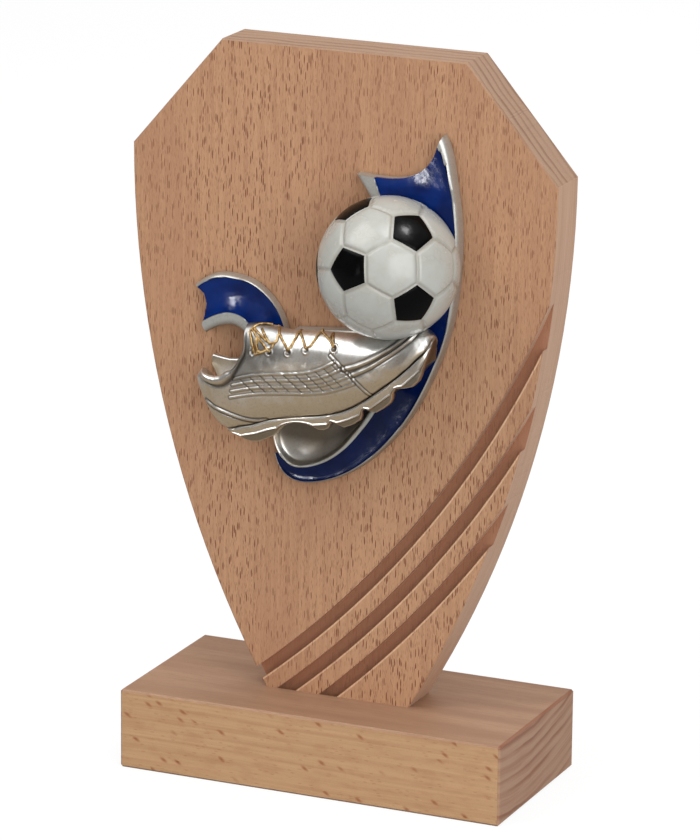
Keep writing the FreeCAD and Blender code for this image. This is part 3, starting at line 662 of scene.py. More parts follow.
def makeScoop():
    # rings shrink from the rim towards a middle point and fall as a quarter ellipse over the first millimetres
    s = scoopSizes
    rim = smoothLine(np.vstack([scoopRim, scoopRim[:1]]), s["turns"] + 1)[:-1]
    middle = np.array(s["middle"])
    share = np.linspace(0, 1, s["rings"]) ** 1.3
    plan = rim[None] + (middle - rim)[None] * share[:, None, None] * 0.999
    reach = np.linalg.norm(middle - rim, axis=1)[None, :] * share[:, None]
    fall = s["floor"] * np.sqrt(np.clip(1 - np.clip(1 - reach / s["bowl"], 0, 1) ** 2, 0, 1))
    front = ribbonSizes["front"] + fall * step(reach, 0.0, s["lip"])
    near = np.stack([plan[..., 0], front, plan[..., 1]], -1)
    far = np.stack([rim[:, 0], np.full(len(rim), ribbonSizes["back"]), rim[:, 1]], -1)[None]
    verts, faces = tubeOfRings(np.concatenate([far, near], 0))
    # painted shadow of the sole: dark from a little below the shade line upwards, where the bowl lies deep
    shade = np.interp(verts[:, 0], s["shadeLine"][0], s["shadeLine"][1])
    deep = verts[:, 1] - ribbonSizes["front"]
    dark = step(verts[:, 2], shade - 4.6, shade + 0.4) * step(deep, 0.4, 1.4)
    return addPiece("scoop", verts, faces, bootSilver, 60, crease=dark)


scoop = makeScoop()
# the web is the flat metal between boot, ball and ribbon
webOutline = onBoard([(-0.240, -0.160), (-0.230, -0.250), (-0.150, -0.290), (0.117, -0.180), (0.151, -0.125),
                      (0.167, -0.040), (0.165, 0.055), (0.145, 0.150), (0.110, 0.060), (0.060, -0.045),
                      (-0.104, -0.060), (-0.107, -0.112), (-0.150, -0.197), (-0.1545, -0.1935),
                      (-0.1766, -0.157), (-0.200, -0.123), (-0.215, -0.140)])


def prismMesh(outline, near, far):  # an upright outline carried straight back from near to far
    outline = np.asarray(outline, float)
    count = len(outline)
    verts = np.vstack([np.c_[outline[:, 0], np.full(count, y), outline[:, 1]] for y in (near, far)])
    faces = [list(range(count)), list(range(2 * count - 1, count - 1, -1))]
    faces += [[k, (k + 1) % count, count + (k + 1) % count, count + k] for k in range(count)]
    return verts, faces


web = addPiece("web", *prismMesh(webOutline, ribbonSizes["front"], ribbonSizes["back"]), rimSilver, 30)
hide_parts("ribbon")
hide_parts("ribbon_enamel")
print("scoop and web done")

# ball: a sphere with a seam wherever the two nearest panels are equally near
# the dome of a pentagon is given as shares of its reach, each with its lift above the ball
ballSizes = {"middle": (16.3, -16.0, 131.42), "radius": 17.0, "seam": 0.34, "width": 0.45, "puff": 0.06,
             "puffWidth": 1.6, "around": 440, "rings": 150, "turn": 240.2, "axis": (0.413, 0.892, -0.185),
             "black": 0.36, "corners": 120, "trials": 400,
             "dome": ((0.001, 0.02), (0.2, 0.02), (0.4, 0.02), (0.6, 0.02), (0.75, 0.01), (0.86, 0.0),
                      (0.93, -0.04), (0.98, -0.12), (1.0, -0.25), (1.0, -0.8))}


def panelCentres():  # directions of the 12 pentagons and 20 hexagons, and how far out their planes lie
    golden = (1 + 5 ** 0.5) / 2
    corners = []
    for a in (-1, 1):
        for b in (-golden, golden):
            corners += [(0, a, b), (a, b, 0), (b, 0, a)]
    turn = np.array(Matrix.Rotation(math.radians(ballSizes["turn"]), 3, Vector(ballSizes["axis"])))
    corners = np.array(corners) @ turn.T
    corners /= np.linalg.norm(corners[0])
    side = np.sort(np.linalg.norm(corners - corners[0], axis=1))[1]
    near = np.abs(np.linalg.norm(corners[:, None] - corners[None], axis=-1) - side) < 0.01
    middles = [corners[i] + corners[j] + corners[k] for i in range(12) for j in range(i) for k in range(j)
               if near[i, j] and near[j, k] and near[i, k]]
    middles = np.array(middles)
    hexagons = middles / np.linalg.norm(middles[0])
    point = (corners[0] * 2 + corners[np.flatnonzero(near[0])[0]]) / 3
    flat5, flat6 = point @ corners[0], (hexagons @ point).max()
    return corners, hexagons, flat5, flat6


def seamDistance(directions):  # distance to the nearest seam, and whether the panel is a pentagon
    pentagons, hexagons, flat5, flat6 = panelCentres()
    axes = np.vstack([pentagons / flat5, hexagons / flat6])
    reach = directions @ axes.T
    order = np.argsort(-reach, axis=1)[:, :2]
    row = np.arange(len(directions))
    gap = reach[row, order[:, 0]] - reach[row, order[:, 1]]
    slope = np.linalg.norm(axes[order[:, 0]] - axes[order[:, 1]], axis=1)
    return ballSizes["radius"] * gap / slope, order[:, 0] < 12


def makeBall():
    # polar and turning angle from the front pole back to the board; the radius dips as a bell curve at each
    # seam, and the panels round off towards it by a decaying exponential
    s = ballSizes
    middle = np.array(s["middle"])
    stop = math.acos((s["middle"][1] - ribbonSizes["front"]) / s["radius"])
    polar = np.linspace(0.0001, stop, s["rings"])[:, None]
    turn = np.linspace(0, 2 * np.pi, s["around"], endpoint=False)[None, :]
    flat = np.sin(polar)
    way = np.stack([flat * np.cos(turn), -np.cos(polar) + 0 * turn, flat * np.sin(turn)], -1)
    distance = seamDistance(way.reshape(-1, 3))[0]
    radius = s["radius"] - s["seam"] * np.exp(-(distance / s["width"]) ** 2)
    radius = radius - s["puff"] * np.exp(-distance / s["puffWidth"])
    rings = middle + way * radius.reshape(way.shape[:2])[..., None]
    verts, faces = tubeOfRings(rings)
    ball = addPiece("ball", verts, faces, white, 60)
    store = ball.data.attributes.new("seam", "FLOAT", "POINT")
    places = np.empty(len(ball.data.vertices) * 3)
    ball.data.vertices.foreach_get("co", places)
    ways = unit(places.reshape(-1, 3) / 0.001 - middle)
    store.data.foreach_set("value", seamDistance(ways)[0].astype(np.float32))
    return ball


def makePentagons():  # each black pentagon is a domed cap whose edge runs just inside the seam
    s = ballSizes
    middle = np.array(s["middle"])
    turn = np.linspace(0, 2 * np.pi, s["corners"], endpoint=False)[:, None]
    sizes = np.linspace(0.05, 0.5, s["trials"])
    shells = []
    for axis in panelCentres()[0]:
        if axis[1] > 0.2 or axis[2] < -0.7:  # behind or underneath, where none shows
            continue
        second = unit(np.cross(axis, [0.3, 0.2, 0.9]))
        side = np.cos(turn) * second + np.sin(turn) * np.cross(axis, second)
        trial = unit(axis + side[:, None] * sizes[None, :, None])
        distance, isFive = seamDistance(trial.reshape(-1, 3))
        good = (isFive & (distance > s["black"])).reshape(s["corners"], s["trials"])
        edge = sizes[good.sum(1).clip(1) - 1]
        ring = []
        for share, lift in s["dome"]:
            point = middle + unit(axis + side * (edge * share)[:, None]) * (s["radius"] + lift)
            point[:, 1] = np.minimum(point[:, 1], ribbonSizes["front"] - 0.02)
            ring.append(point)
        shells.append(tubeOfRings(ring))
    return addPiece("black_pentagons", *joined(shells), black, 60)


ball = makeBall()
pentagons = makePentagons()
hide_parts("ball")
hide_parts("ball_pentagons")
print("ball done")

# boot; boot space has s along the sole, t up through the ankle and d towards the viewer. The lines below list
# (s, t) of the upper's foot, its ridge, the crease under the collar, the far rim and the sole's low edge, and
# (s, d) of the upper's half width; girth is half a section, as shares of the half width and of the height
bootSizes = {"middle": -14.4, "back": 4.1, "tilt": 30.0, "corner": (-24.0, 84.0), "start": -1.28,
             "length": 61.76, "rows": 545, "near": 96, "roll": 28, "hollow": 30, "rim": 12, "far": 14}
footLine = [(-1.3, 11.8), (-1.15, 9.3), (-0.85, 7.6), (-0.3, 6.2), (0.6, 4.9), (1.6, 3.8), (2.8, 3.0),
            (4.2, 2.6), (6.2, 2.2), (8.8, 1.5), (12.2, 1.0), (16.9, -0.2), (21.9, -1.9), (26.8, -3.7),
            (32, -4.9), (37.9, -5.1), (44.3, -4.3), (50.7, -3.2), (54.1, -2.3), (57.5, -1.2), (59.6, 0.0),
            (60.5, 1.3)]
ridgeLine = [(-1.3, 17.3), (-0.9, 18.1), (0.2, 18.6), (1.5, 19.2), (3, 20.6), (5, 22.4), (8, 23.8),
             (12, 24.4), (16, 24.2), (18.2, 23.7), (21.1, 22.4), (23.9, 20.5), (27, 18.1), (30.5, 16.3),
             (34.1, 14.6), (37.5, 12.7), (41, 10.9), (45, 8.9), (49, 7.3), (53, 6.3), (56, 5.9), (58.0, 5.2),
             (59.5, 3.9), (60.5, 2.0)]
halfLine = [(-1.3, 0.5), (-1.1, 2.1), (-0.6, 3.3), (0.6, 4.5), (3, 5.6), (7, 6.1), (12, 6.2), (20, 6.2),
            (26, 6.3), (32, 6.7), (38, 7.2), (44, 7.4), (49, 7.0), (53, 6.2), (56, 5.2), (58.3, 4.0),
            (59.7, 2.6), (60.5, 0.7)]
creaseLine = [(-1.3, 15.0), (0.2, 16.6), (1.6, 16.3), (2.8, 15.3), (4.0, 14.3), (5.4, 13.5), (7.0, 13.1),
              (8.5, 13.2), (10.0, 13.6), (11.3, 14.5), (13.4, 16.0), (15.3, 17.2), (16.4, 18.6), (17.2, 20.8),
              (18.2, 22.8), (19.2, 23.0)]
farRimLine = [(-1.3, 17.0), (0.4, 18.4), (1.8, 18.6), (2.9, 19.4), (3.3, 20.6), (3.9, 20.8), (4.8, 20.0),
              (5.7, 19.3), (7.3, 18.1), (8.8, 17.4), (9.8, 17.1), (10.8, 17.2), (12.0, 17.9), (14.0, 19.6),
              (16.0, 21.8), (18.2, 23.3)]
lowLine = [(1.2, 3.6), (2.3, 2.7), (3.0, 2.0), (3.8, 1.2), (4.6, 0.2), (5.5, -0.9), (6.9, -2.0), (8.6, -2.7),
           (10.6, -2.9), (12.9, -3.0), (14.2, -2.7), (15.3, -2.2), (16.3, -1.9), (17.8, -1.85), (19.5, -2.2),
           (21.0, -2.9), (22.4, -3.9), (23.5, -5.0), (24.5, -6.3), (25.6, -6.9), (27.1, -7.0), (27.9, -6.6),
           (28.7, -5.9), (29.1, -6.2), (30.1, -7.4), (31.0, -8.4), (33.6, -8.7), (36.0, -8.5), (37.0, -7.7),
           (37.7, -6.6), (38.6, -6.5), (39.9, -7.9), (40.8, -8.5), (43.3, -8.3), (45.2, -7.9), (46.1, -7.3),
           (46.9, -6.1), (48.1, -5.4), (49.0, -5.7), (50.0, -6.2), (52.0, -6.7), (54.0, -6.1), (54.9, -5.3),
           (55.8, -4.3), (57.0, -3.1), (58.1, -2.0), (59.0, -1.0), (59.7, 0.0), (60.3, 1.0)]
girthKnots = np.array([(0.80, 0.00), (0.95, 0.10), (1.00, 0.25), (0.965, 0.46), (0.86, 0.66), (0.68, 0.82),
                       (0.38, 0.95), (0.00, 1.00)])
girthWalk = np.r_[0, np.cumsum(np.linalg.norm(np.diff(girthKnots, axis=0), axis=1))]
girthShare = np.linspace(0, 1, 400)
girth = spline(girthWalk / girthWalk[-1], girthKnots, girthShare)


def softLine(table, s, reach):  # straight pieces between the knots, rounded by averaging over a short reach
    table = np.asarray(table)
    parts = (-1, -0.6, -0.3, 0, 0.3, 0.6, 1)
    return sum(np.interp(s + part * reach, table[:, 0], table[:, 1]) for part in parts) / len(parts)


def bootLine(table, s):  # a natural cubic curve along the boot, with soft straight pieces at both ends
    table = np.asarray(table)
    share = step(s, 1.5, 4.0) * (1 - step(s, 57.0, 59.5))
    return softLine(table, s, 0.3) * (1 - share) + spline(table[:, 0], table[:, 1], s) * share


def bootToPart(s, ring):  # boot-space rings of (d, t) at places s, as points of the part
    along, up = np.broadcast_to(s[:, None], ring.shape[:2]), ring[..., 1]
    tilt = math.radians(bootSizes["tilt"])
    c, n = math.cos(tilt), math.sin(tilt)
    cornerX, cornerZ = bootSizes["corner"]
    y = bootSizes["middle"] - ring[..., 0]
    return np.stack([cornerX + along * c - up * n, y, cornerZ + along * n + up * c], -1)


def creaseOf(s, foot, ridge):  # height of the crease under the collar; past the throat it nears the ridge
    share = step(s, 17.4, 18.6)
    crease = softLine(creaseLine, np.clip(s, -1.3, 19), 0.3)
    crease = (1 - share) * crease + share * (foot + (ridge - foot) * 0.93)
    return np.minimum(crease, foot + (ridge - foot) * 0.95)


def creasePlace(s):  # the girth place at which a section reaches the crease
    foot, ridge = bootLine(footLine, s), bootLine(ridgeLine, s)
    return np.interp((creaseOf(s, foot, ridge) - foot) / (ridge - foot), girth[:, 1], girthShare)


def skin(s, place):  # the closed upper at places s and girth places 0 (near foot), 1 (ridge) and 2 (far foot)
    foot, ridge, half = bootLine(footLine, s), bootLine(ridgeLine, s), bootLine(halfLine, s)
    folded = np.where(place <= 1, place, 2 - place)
    d = np.interp(folded, girthShare, girth[:, 0]) * np.where(place <= 1, 1, -1) * half
    t = foot + np.interp(folded, girthShare, girth[:, 1]) * (ridge - foot)
    return np.stack([np.maximum(d, -bootSizes["back"]), t], -1)


seamLines = {
    "counter": [(0.2, 11.6), (0.9, 10.6), (1.8, 9.5), (3.3, 8.1), (4.9, 6.6), (6.5, 5.1), (8.1, 3.7),
                (9.7, 2.6), (11.2, 1.8), (13.0, 1.1)],
    "pipeA": [(38.3, 4.2), (41.8, 3.6), (44.6, 3.4), (47.2, 3.4), (49.9, 3.6), (52.6, 3.9), (55.3, 4.4),
              (57.0, 4.9), (57.9, 5.2)],
    "pipeB": [(39.6, 2.1), (43.0, 1.9), (45.4, 1.9), (48.2, 2.2), (50.9, 2.5), (53.8, 3.1), (56.4, 3.7),
              (57.8, 4.3), (58.6, 4.7)],
    "front": [(36.4, 8.3), (37.6, 6.0), (39.2, 2.6), (40.7, -1.0), (41.9, -4.6)],
}
ribStarts = [(10.4, 13.4), (9.4, 12.2), (8.4, 11.0), (7.4, 9.8)]
ribEnds = [(36.9, 6.6), (37.8, 4.4), (38.7, 2.2), (39.6, 0.0)]
eyelets = [(17.9, 0.50), (21.7, 0.50), (26.2, 0.53), (30.8, 0.57), (37.8, 0.59)]


def ribLine(number):  # a long rib that sags a little between its two ends
    (s0, t0), (s1, t1) = ribStarts[number], ribEnds[number]
    share = np.linspace(0, 1, 25)
    sag = -0.9 * np.sin(np.pi * share) + 0.7 * np.sin(2 * np.pi * share)
    return np.stack([s0 + (s1 - s0) * share, t0 + (t1 - t0) * share + sag], 1)


# line, width, height, depth of the grooves beside it and how much painted shade darkens them
reliefLines = [(ribLine(number), 0.23, 0.15, 0.09, 0.6) for number in range(len(ribStarts))]
reliefLines += [(seamLines[name], 0.34, 0.24, 0.16, 1.0) for name in ("pipeA", "pipeB")]
reliefLines += [(seamLines["counter"], 0.30, 0.18, 0.14, 1.0), (seamLines["front"], 0.24, 0.08, 0.10, 1.0)]


def upperRelief(s, d, t):  # height of seams, ribs and eyelets above the skin, and how much painted shade darkens their grooves
    spotST = np.stack([s, t], -1)
    near = step(d, 0.4, 1.6)
    raised = np.zeros_like(s)
    dark = np.zeros_like(s)

    def ridge(line, width, height, groove):
        distance = lineDistance(spotST, np.asarray(line, float))
        bulge = np.exp(-(distance / width) ** 2)
        flank = np.exp(-((distance - 1.9 * width) / (0.8 * width)) ** 2)
        return bulge * height - flank * groove, flank

    for line, width, height, groove, shade in reliefLines:
        lift, flank = ridge(line, width, height, groove)
        raised += lift
        dark += shade * flank
    ribs = [np.interp(s, line[:, 0], line[:, 1]) for line in (ribLine(0), ribLine(3))]
    inside = step(ribs[0] - t, 0.1, 0.5) * step(t - ribs[1], 0.1, 0.5)
    inside = inside * step(s, 11.5, 12.5) * (1 - step(s, 36.5, 37.2))
    tick = np.exp(-((np.mod(s + 0.45 * t, 2.35) - 1.17) / 0.16) ** 2) * inside
    raised -= 0.10 * tick
    dark += 0.9 * tick
    for along, place in eyelets:
        centre = skin(np.array([along]), np.array([place]))[0]
        distance = np.sqrt((s - along) ** 2 + (t - centre[1]) ** 2)
        raised += 0.22 * np.exp(-((distance - 0.85) / 0.25) ** 2) - 0.45 * np.exp(-(distance / 0.5) ** 2)
        dark += np.exp(-(distance / 0.6) ** 2)
    foot = bootLine(footLine, np.clip(s, bootSizes["start"], bootSizes["start"] + bootSizes["length"]))
    welt = np.exp(-((t - foot - 0.15) / 0.3) ** 2) * step(s, 1.5, 4.0)
    raised -= 0.18 * welt
    dark += 0.8 * welt
    crumple = np.sin(1.3 * s + 0.9 * t) * np.sin(0.8 * t - 0.5 * s + 1.7)
    crumple = crumple + 0.6 * np.sin(2.1 * s - 1.2 * t + 0.6) * np.sin(1.9 * t + 0.4)
    raised += 0.035 * crumple * step(s, 12, 20)
    return raised * near, np.clip(dark, 0, 1) * near


def sectionPlaces(sizes, ease):  # places of the sections along the sole, closer together towards its two ends
    rows = sizes["rows"]
    share = (1 - np.cos(np.linspace(0, np.pi, rows))) / 2 * ease + np.linspace(0, 1, rows) * (1 - ease)
    return sizes["start"] + share * sizes["length"]


collarSizes = {"roll": 1.4, "thinner": 0.85, "inwards": 0.72, "upwards": 0.80, "floor": 9.0, "farIn": -2.5,
               "farRim": 0.85, "farRimHigh": 0.45, "farRimAt": -3.25}


def openCollar(s, edge, foot, farRim):
    # what takes the closed skin's place past the crease: a padded roll, the hollow inside as a cubic curve
    # from the roll down and up again, the far rim, and the far side down to the sole
    z, c = bootSizes, collarSizes
    thick = c["roll"] - c["thinner"] * step(s, 8.5, 12.5)
    middle = np.stack([edge[:, 0] - c["inwards"] * thick, edge[:, 1] + c["upwards"] * thick], -1)
    turn = np.radians(np.linspace(-42, 205, z["roll"]))
    roll = middle[:, None] + thick[:, None, None] * np.stack([np.cos(turn), np.sin(turn)], -1)[None]
    floor = np.minimum(c["floor"], edge[:, 1] - 3)
    k = np.linspace(0, 1, z["hollow"])[None, :, None]
    inwards = np.full(len(s), c["farIn"])
    corners = [roll[:, -1], np.stack([roll[:, -1, 0], floor], -1), np.stack([inwards, floor], -1),
               np.stack([inwards + 0.1, farRim - 0.5], -1)]
    weights = ((1 - k) ** 3, 3 * k * (1 - k) ** 2, 3 * k ** 2 * (1 - k), k ** 3)
    hollow = sum(weight * corner[:, None] for weight, corner in zip(weights, corners))
    turn = np.radians(np.linspace(0, 165, z["rim"]))[None, :]
    farRim = farRim[:, None]
    rim = np.stack([c["farRimAt"] + c["farRim"] * np.cos(turn) + 0 * farRim,
                    farRim + c["farRimHigh"] * (np.sin(turn) - 1)], -1)
    down = np.linspace(0, 1, z["far"] + 1)[None, 1:]
    last = rim[:, -1:, 1]
    far = np.stack([-z["back"] + 0 * down + 0 * last, last + (foot[:, None] - last) * down], -1)
    return np.concatenate([roll, hollow, rim, far], 1)


def makeUpper():  # a lofted shell: each section runs from the near foot up over the ridge to the far foot
    z = bootSizes
    s = sectionPlaces(z, 0.35)
    opening = step(s, 1.0, 2.6) * (1 - step(s, 16.6, 18.4))
    farRim = softLine(farRimLine, np.clip(s, -1.3, 18.2), 0.25)
    creaseQ = creasePlace(s)[:, None]
    rest = z["roll"] + z["hollow"] + z["rim"] + z["far"]
    nearQ = np.linspace(0, 1, z["near"])[None, :] * creaseQ
    restQ = creaseQ + (2 - creaseQ) * np.linspace(0, 1, rest + 1)[None, 1:] ** 0.85
    rows = np.broadcast_to(s[:, None], (len(s), z["near"] + rest))
    closed = skin(rows.ravel(), np.concatenate([nearQ, restQ], 1).ravel()).reshape(rows.shape + (2,))
    opened = openCollar(s, closed[:, z["near"] - 1], bootLine(footLine, s), farRim)
    opening = opening[:, None]
    ring = closed.copy()
    ring[:, z["near"]:] += (opened - closed[:, z["near"]:]) * opening[..., None]
    points = bootToPart(s, ring)
    normal = np.cross(np.gradient(points, axis=0), np.gradient(points, axis=1))
    normal /= np.linalg.norm(normal, axis=-1)[..., None] + 1e-12
    if normal[len(s) // 2, z["near"] // 2, 1] > 0:
        normal = -normal
    raised, dark = upperRelief(rows, ring[..., 0], ring[..., 1])
    column = np.arange(ring.shape[1])[None, :]
    onSkin = np.where(column < z["near"], 1.0, 1 - opening)
    # painted shade under the collar's roll and in the hollow inside it
    nearCrease = np.exp(-((column - z["near"] + 1) / 3.0) ** 2) * opening
    raised = raised * onSkin - 0.15 * nearCrease
    inHollow = (column > z["near"] + z["roll"]) * (column < z["near"] + z["roll"] + z["hollow"])
    dark = np.clip(dark * onSkin + nearCrease + inHollow * opening * 0.5, 0, 1)
    points = points + normal * raised[..., None]
    points[..., 1] = np.minimum(points[..., 1], ribbonSizes["front"])
    verts, faces = tubeOfRings(points)
    return addPiece("boot_skin", verts, faces, bootSilver, 60, crease=np.r_[dark.ravel(), 0, 0])


soleSizes = {"start": 2.0, "length": 58.3, "rows": 620}


def makeSole():
    # welt, midsole band, blades and heel block: each section is a closed line of places (d, t) that starts at
    # the welt, goes down the near side and under, and comes up at the back; w is 0 where the sole is very thin
    s = sectionPlaces(soleSizes, 0.3)
    top, half = bootLine(footLine, s), bootLine(halfLine, s)
    near = 0.80 * half + 0.75 * step(s, 1.6, 3.6) * (1 - step(s, 57.5, 60.3))
    low = np.minimum(softLine(lowLine, s, 0.15), top - 0.12)
    band = np.maximum(top - 2.0, low + 0.3 * (top - low))
    plate = np.maximum(low, top - 1.7 - 0.3 * step(s, 20, 26))
    far = -np.minimum(bootSizes["back"], np.maximum(near * 0.95, 0.1) * (1 - 0.4 * step(s, 54, 58)))
    w = np.clip((top - low - 0.5) / 2.0, 0, 1)
    inner = np.maximum(near - 2.4, far + 0.1)
    places = [(near - 1.5 * w - 0.3, top + 0.4), (near - 0.15, top + 0.12), (near, top - 0.1 * w),
              (near + 0.02, top - 0.5 * w - 0.02), (near - 0.10 * w, band + 0.35 * w),
              (near + 0.10 * w, band + 0.08 * w), (near + 0.10 * w, band - 0.10 * w),
              (near - 0.22 * w, band - 0.32 * w), (near - 0.30 * w, low + 0.45 * w),
              (near - 0.45 * w, low + 0.15 * w), (near - 0.75 * w - 0.1, low + 0.02 * w),
              (near - 1.2 * w - 0.2, low), ((near + inner) / 2 - 0.3 * w, low), (inner + 0.25, low),
              (inner, low + 0.1 * w), (inner - 0.05, np.maximum(plate - 0.1, low + 0.1 * w)),
              (inner - 0.25, plate), ((inner + far) / 2 - 0.1, plate), (far, plate), (far, (plate + top) / 2),
              (far, top + 0.4)]
    ring = np.stack([np.stack([np.minimum(np.maximum(d, far), near + 0.2), t], -1) for d, t in places], 1)
    # painted shade at the welt, below the band, and over the underside and back
    dark = np.zeros(ring.shape[:2])
    dark[:, [1, 7, 8]] = 0.7
    dark[:, 12:] = 1.0
    verts, faces = tubeOfRings(bootToPart(s, ring))
    return addPiece("boot_blades", verts, faces, bootSilver, 35, crease=np.r_[dark.ravel(), 0, 0])


# a lace's route is given in places along the sole and girth places; one girth place is about 18 mm
laceSizes = {"radius": 0.33, "flat": 0.8, "sides": 8, "lift": 0.05, "cross": 0.16, "bend": 0.35,
             "girth": 18.0, "points": 14}
laceRoutes = [
    [(37.75, 0.61), (37.9, 0.72), (37.4, 0.95), (37.06, 0.72), (37.75, 0.60)],
    [(37.75, 0.60), (37.06, 0.72), (34.8, 0.93), (33.75, 0.73), (32.34, 0.62), (30.93, 0.585), (30.57, 0.73),
     (29.69, 0.91), (28.98, 0.74), (27.57, 0.62), (26.4, 0.55), (26.1, 0.62), (25.81, 0.66), (25.28, 0.77),
     (24.58, 0.65), (23.18, 0.57), (21.8, 0.50)],
    [(34.8, 0.93), (34.6, 1.06)], [(29.69, 0.91), (29.6, 1.06)],
    [(25.28, 0.767), (25.1, 0.966), (24.05, 1.018), (23.0, 0.96), (22.14, 0.95), (20.6, 0.90), (19.57, 0.80),
     (18.6, 0.742)],
    [(18.6, 0.742), (18.7, 0.644), (18.5, 0.571), (18.3, 0.504), (18.1, 0.48)],
    [(19.24, 0.767), (20.08, 0.653), (20.94, 0.588), (21.45, 0.532), (21.8, 0.504)],
    [(19.57, 0.80), (20.94, 0.681), (21.97, 0.616), (23.18, 0.588), (24.58, 0.644)],
    [(21.45, 0.80), (22.14, 0.662), (22.66, 0.578)],
    [(21.45, 0.532), (20.08, 0.494), (19.07, 0.504), (18.76, 0.541), (20.08, 0.606), (21.28, 0.672)],
    [(18.1, 0.479), (19.41, 0.485), (20.94, 0.504), (21.8, 0.522)],
    [(20.08, 0.653), (19.41, 0.569), (19.24, 0.504)],
]


def tautLine(points, count, bend):  # straight runs between the points, their corners rounded by averaging
    points = np.asarray(points, float)
    scale = np.array([1.0, laceSizes["girth"]])
    walk = np.r_[0, np.cumsum(np.linalg.norm(np.diff(points * scale, axis=0), axis=1))]
    want = np.linspace(0, walk[-1], count)
    shifts = np.linspace(-bend, bend, 7)
    runs = [np.stack([np.interp(want + shift, walk, points[:, k]) for k in range(2)], 1) for shift in shifts]
    return sum(runs) / len(runs)


def makeLaces():  # round laces laid on the skin; where two cross, one is lifted a little
    c, shells = laceSizes, []
    turn = np.linspace(0, 2 * np.pi, c["sides"], endpoint=False)[None, :, None]
    for number, route in enumerate(laceRoutes):
        path = tautLine(route, c["points"] * len(route), c["bend"])
        s, place = path[:, 0], path[:, 1]
        points = bootToPart(s, skin(s, place)[:, None])[:, 0]
        girthWay = bootToPart(s, skin(s, place + 0.02)[:, None])[:, 0] - points
        slide = bootToPart(s + 0.1, skin(s + 0.1, place)[:, None])[:, 0] - points
        along = unit(np.gradient(points, axis=0))
        out = unit(np.cross(girthWay, slide))
        out *= np.where(out[:, 1:2] < 0, 1, -1)
        side = unit(np.cross(along, out))
        out = np.cross(side, along)
        out *= np.where(out[:, 1:2] < 0, 1, -1)
        lift = c["lift"] + c["cross"] * (number % 3) * np.sin(np.pi * np.linspace(0, 1, len(path)))
        oval = np.cos(turn) * out[:, None] * c["flat"] + np.sin(turn) * side[:, None]
        shells.append(tubeOfRings((points + out * lift[:, None])[:, None] + c["radius"] * oval))
    return addPiece("gold_laces", *joined(shells), gold, 60)


upper = makeUpper()
sole = makeSole()
laces = makeLaces()
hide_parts("boot_upper")
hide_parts("boot_sole")
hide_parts("boot_laces")
print("boot done")


def planeMesh(name, corners, mat):  # one flat face
    mesh = bpy.data.meshes.new(name)
    mesh.from_pydata(corners, [], [(0, 1, 2, 3)])
    mesh.materials.append(mat)
    obj = bpy.data.objects.new(name, mesh)
    bpy.context.scene.collection.objects.link(obj)
    return obj


roomLight = {"floorShade": 0.45, "floorGlow": 1.24, "floorShare": 0.70, "world": 0.50, "overhead": 1.05,
             "level": 0.30, "warm": (0.60, 0.55, 0.50, 1)}


def paleMaterial(name):  # mostly white to the camera, a pale surface to all else, so that it keeps the shadow
    s = roomLight
    mat, tree, shader = newMaterial(name)
    shader.inputs["Base Color"].default_value = (s["floorShade"], s["floorShade"], s["floorShade"], 1)
    shader.inputs["Roughness"].default_value = 0.9
    glow = tree.nodes.new("ShaderNodeEmission")
    glow.inputs["Strength"].default_value = s["floorGlow"]
    path = tree.nodes.new("ShaderNodeLightPath")
    blend = tree.nodes.new("ShaderNodeMixShader")
    put(blend.inputs["Fac"], Field(path.outputs["Is Camera Ray"]) * s["floorShare"])
    out = [n for n in tree.nodes if n.type == "OUTPUT_MATERIAL"][0]
    tree.links.new(shader.outputs["BSDF"], blend.inputs[1])
    tree.links.new(glow.outputs["Emission"], blend.inputs[2])
    tree.links.new(blend.outputs["Shader"], out.inputs["Surface"])
    return mat


floor = planeMesh("floor", [(-3, -3, 0), (3, -3, 0), (3, 3, 0), (-3, 3, 0)], paleMaterial("pale floor"))

# the world is white to the camera and even as light; mirrored, it is bright overhead and warm at eye level
world = bpy.data.worlds.new("studio")
bpy.context.scene.world = world
world.use_nodes = True
worldTree = world.node_tree
worldTree.nodes.clear()
worldOut = worldTree.nodes.new("ShaderNodeOutputWorld")
skyLight = worldTree.nodes.new("ShaderNodeBackground")
path = worldTree.nodes.new("ShaderNodeLightPath")
toCamera, mirrored = Field(path.outputs["Is Camera Ray"]), Field(path.outputs["Is Glossy Ray"])
height = xyz(worldTree, "Generated", 1.0)[2].ramp(0.30, 0.80)
even = roomLight["world"]
reflected = height.ramp(0.0, 1.0, roomLight["level"], roomLight["overhead"])
put(skyLight.inputs["Color"], mix(mirrored * (1.0 - height), (1, 1, 1, 1), roomLight["warm"]))
put(skyLight.inputs["Strength"], toCamera * (1.0 - even) + even + mirrored * (reflected - even))
worldTree.links.new(skyLight.outputs["Background"], worldOut.inputs["Surface"])


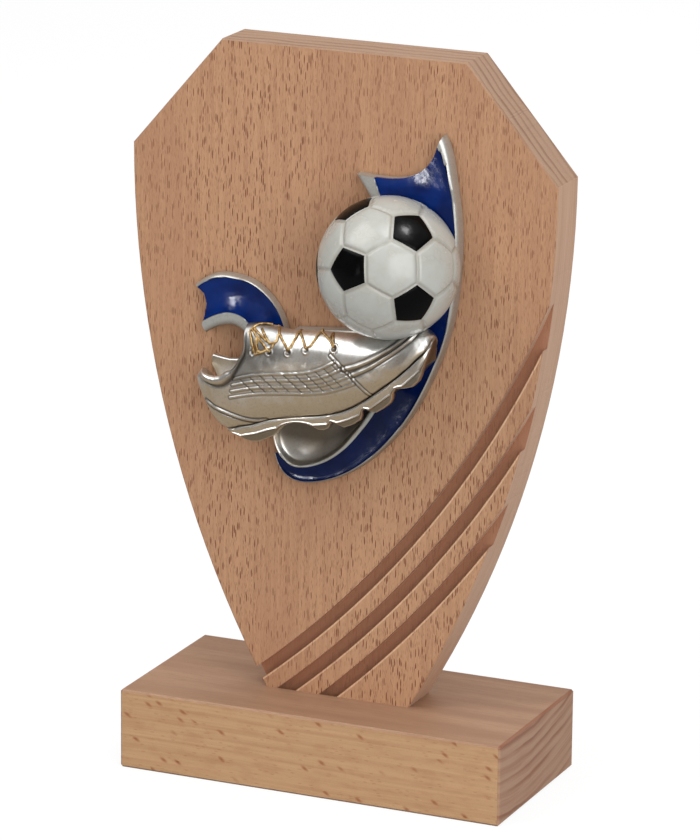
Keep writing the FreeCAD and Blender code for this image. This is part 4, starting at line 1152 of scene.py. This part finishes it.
def lamp(name, place, target, size, power):
    data = bpy.data.lights.new(name, "AREA")
    data.shape = "RECTANGLE"
    data.size, data.size_y = size
    data.energy = power
    obj = bpy.data.objects.new(name, data)
    bpy.context.scene.collection.objects.link(obj)
    obj.location = place
    obj.rotation_euler = (Vector(target) - Vector(place)).to_track_quat("-Z", "Y").to_euler()
    return obj


def gleam(name, place, target, size, power, pieces):  # a lamp that only the named pieces mirror
    obj = lamp(name, place, target, size, power)
    obj.visible_diffuse = False
    seen = bpy.data.collections.new(name)
    for piece in pieces:
        seen.objects.link(piece)
    obj.light_linking.receiver_collection = seen


lamp("overhead", (0.33, -0.32, 1.30), (0, 0, 0.1), (0.7, 0.7), 4.5)
lamp("upper left", (-0.64, -0.52, 1.12), (0, 0, 0.1), (0.8, 0.8), 6.0)
lamp("right front", (1.05, -1.00, 0.55), (0, 0, 0.1), (1.1, 1.1), 11.5)
lamp("small strip", (-0.53, -1.22, 0.20), (0, 0, 0.12), (0.045, 0.19), 0.3)
lamp("behind", (0.1, 0.9, 0.8), (0, 0, 0.1), (0.6, 0.6), 3.0)
gleam("low strip", (-0.14, -0.33, 0.074), (0, 0, 0.135), (0.032, 0.055), 0.30, (hornEnamel, flagEnamel))
gleam("small window", (0.256, -0.016, 0.677), (0.0163, -0.016, 0.131), (0.08, 0.08), 2.0, (pentagons,))

# the camera fitted to the edges of base and board: its own axes, its place in metres and its focal length
viewCamera = {"right": (0.91527569, 0.40269164, 0.01048086), "up": (-0.1184189, 0.24410289, 0.96249195),
              "back": (0.38502905, -0.88218661, 0.27110774), "place": (0.4803166, -1.1007093, 0.4264904),
              "focalPixels": 5185.58, "pictureHeight": 840, "sensor": 36.0}
camData = bpy.data.cameras.new("camera")
camData.sensor_width = viewCamera["sensor"]
camData.lens = viewCamera["focalPixels"] * viewCamera["sensor"] / viewCamera["pictureHeight"]
camData.clip_start = 0.05
camData.clip_end = 20.0
camera = bpy.data.objects.new("camera", camData)
bpy.context.scene.collection.objects.link(camera)
turn = Matrix([viewCamera[axis] for axis in ("right", "up", "back")]).transposed().to_4x4()
camera.matrix_world = Matrix.Translation(viewCamera["place"]) @ turn
bpy.context.scene.camera = camera
bpy.context.scene.view_settings.view_transform = "Standard"

bpy.context.view_layer.update()
print("scene done")
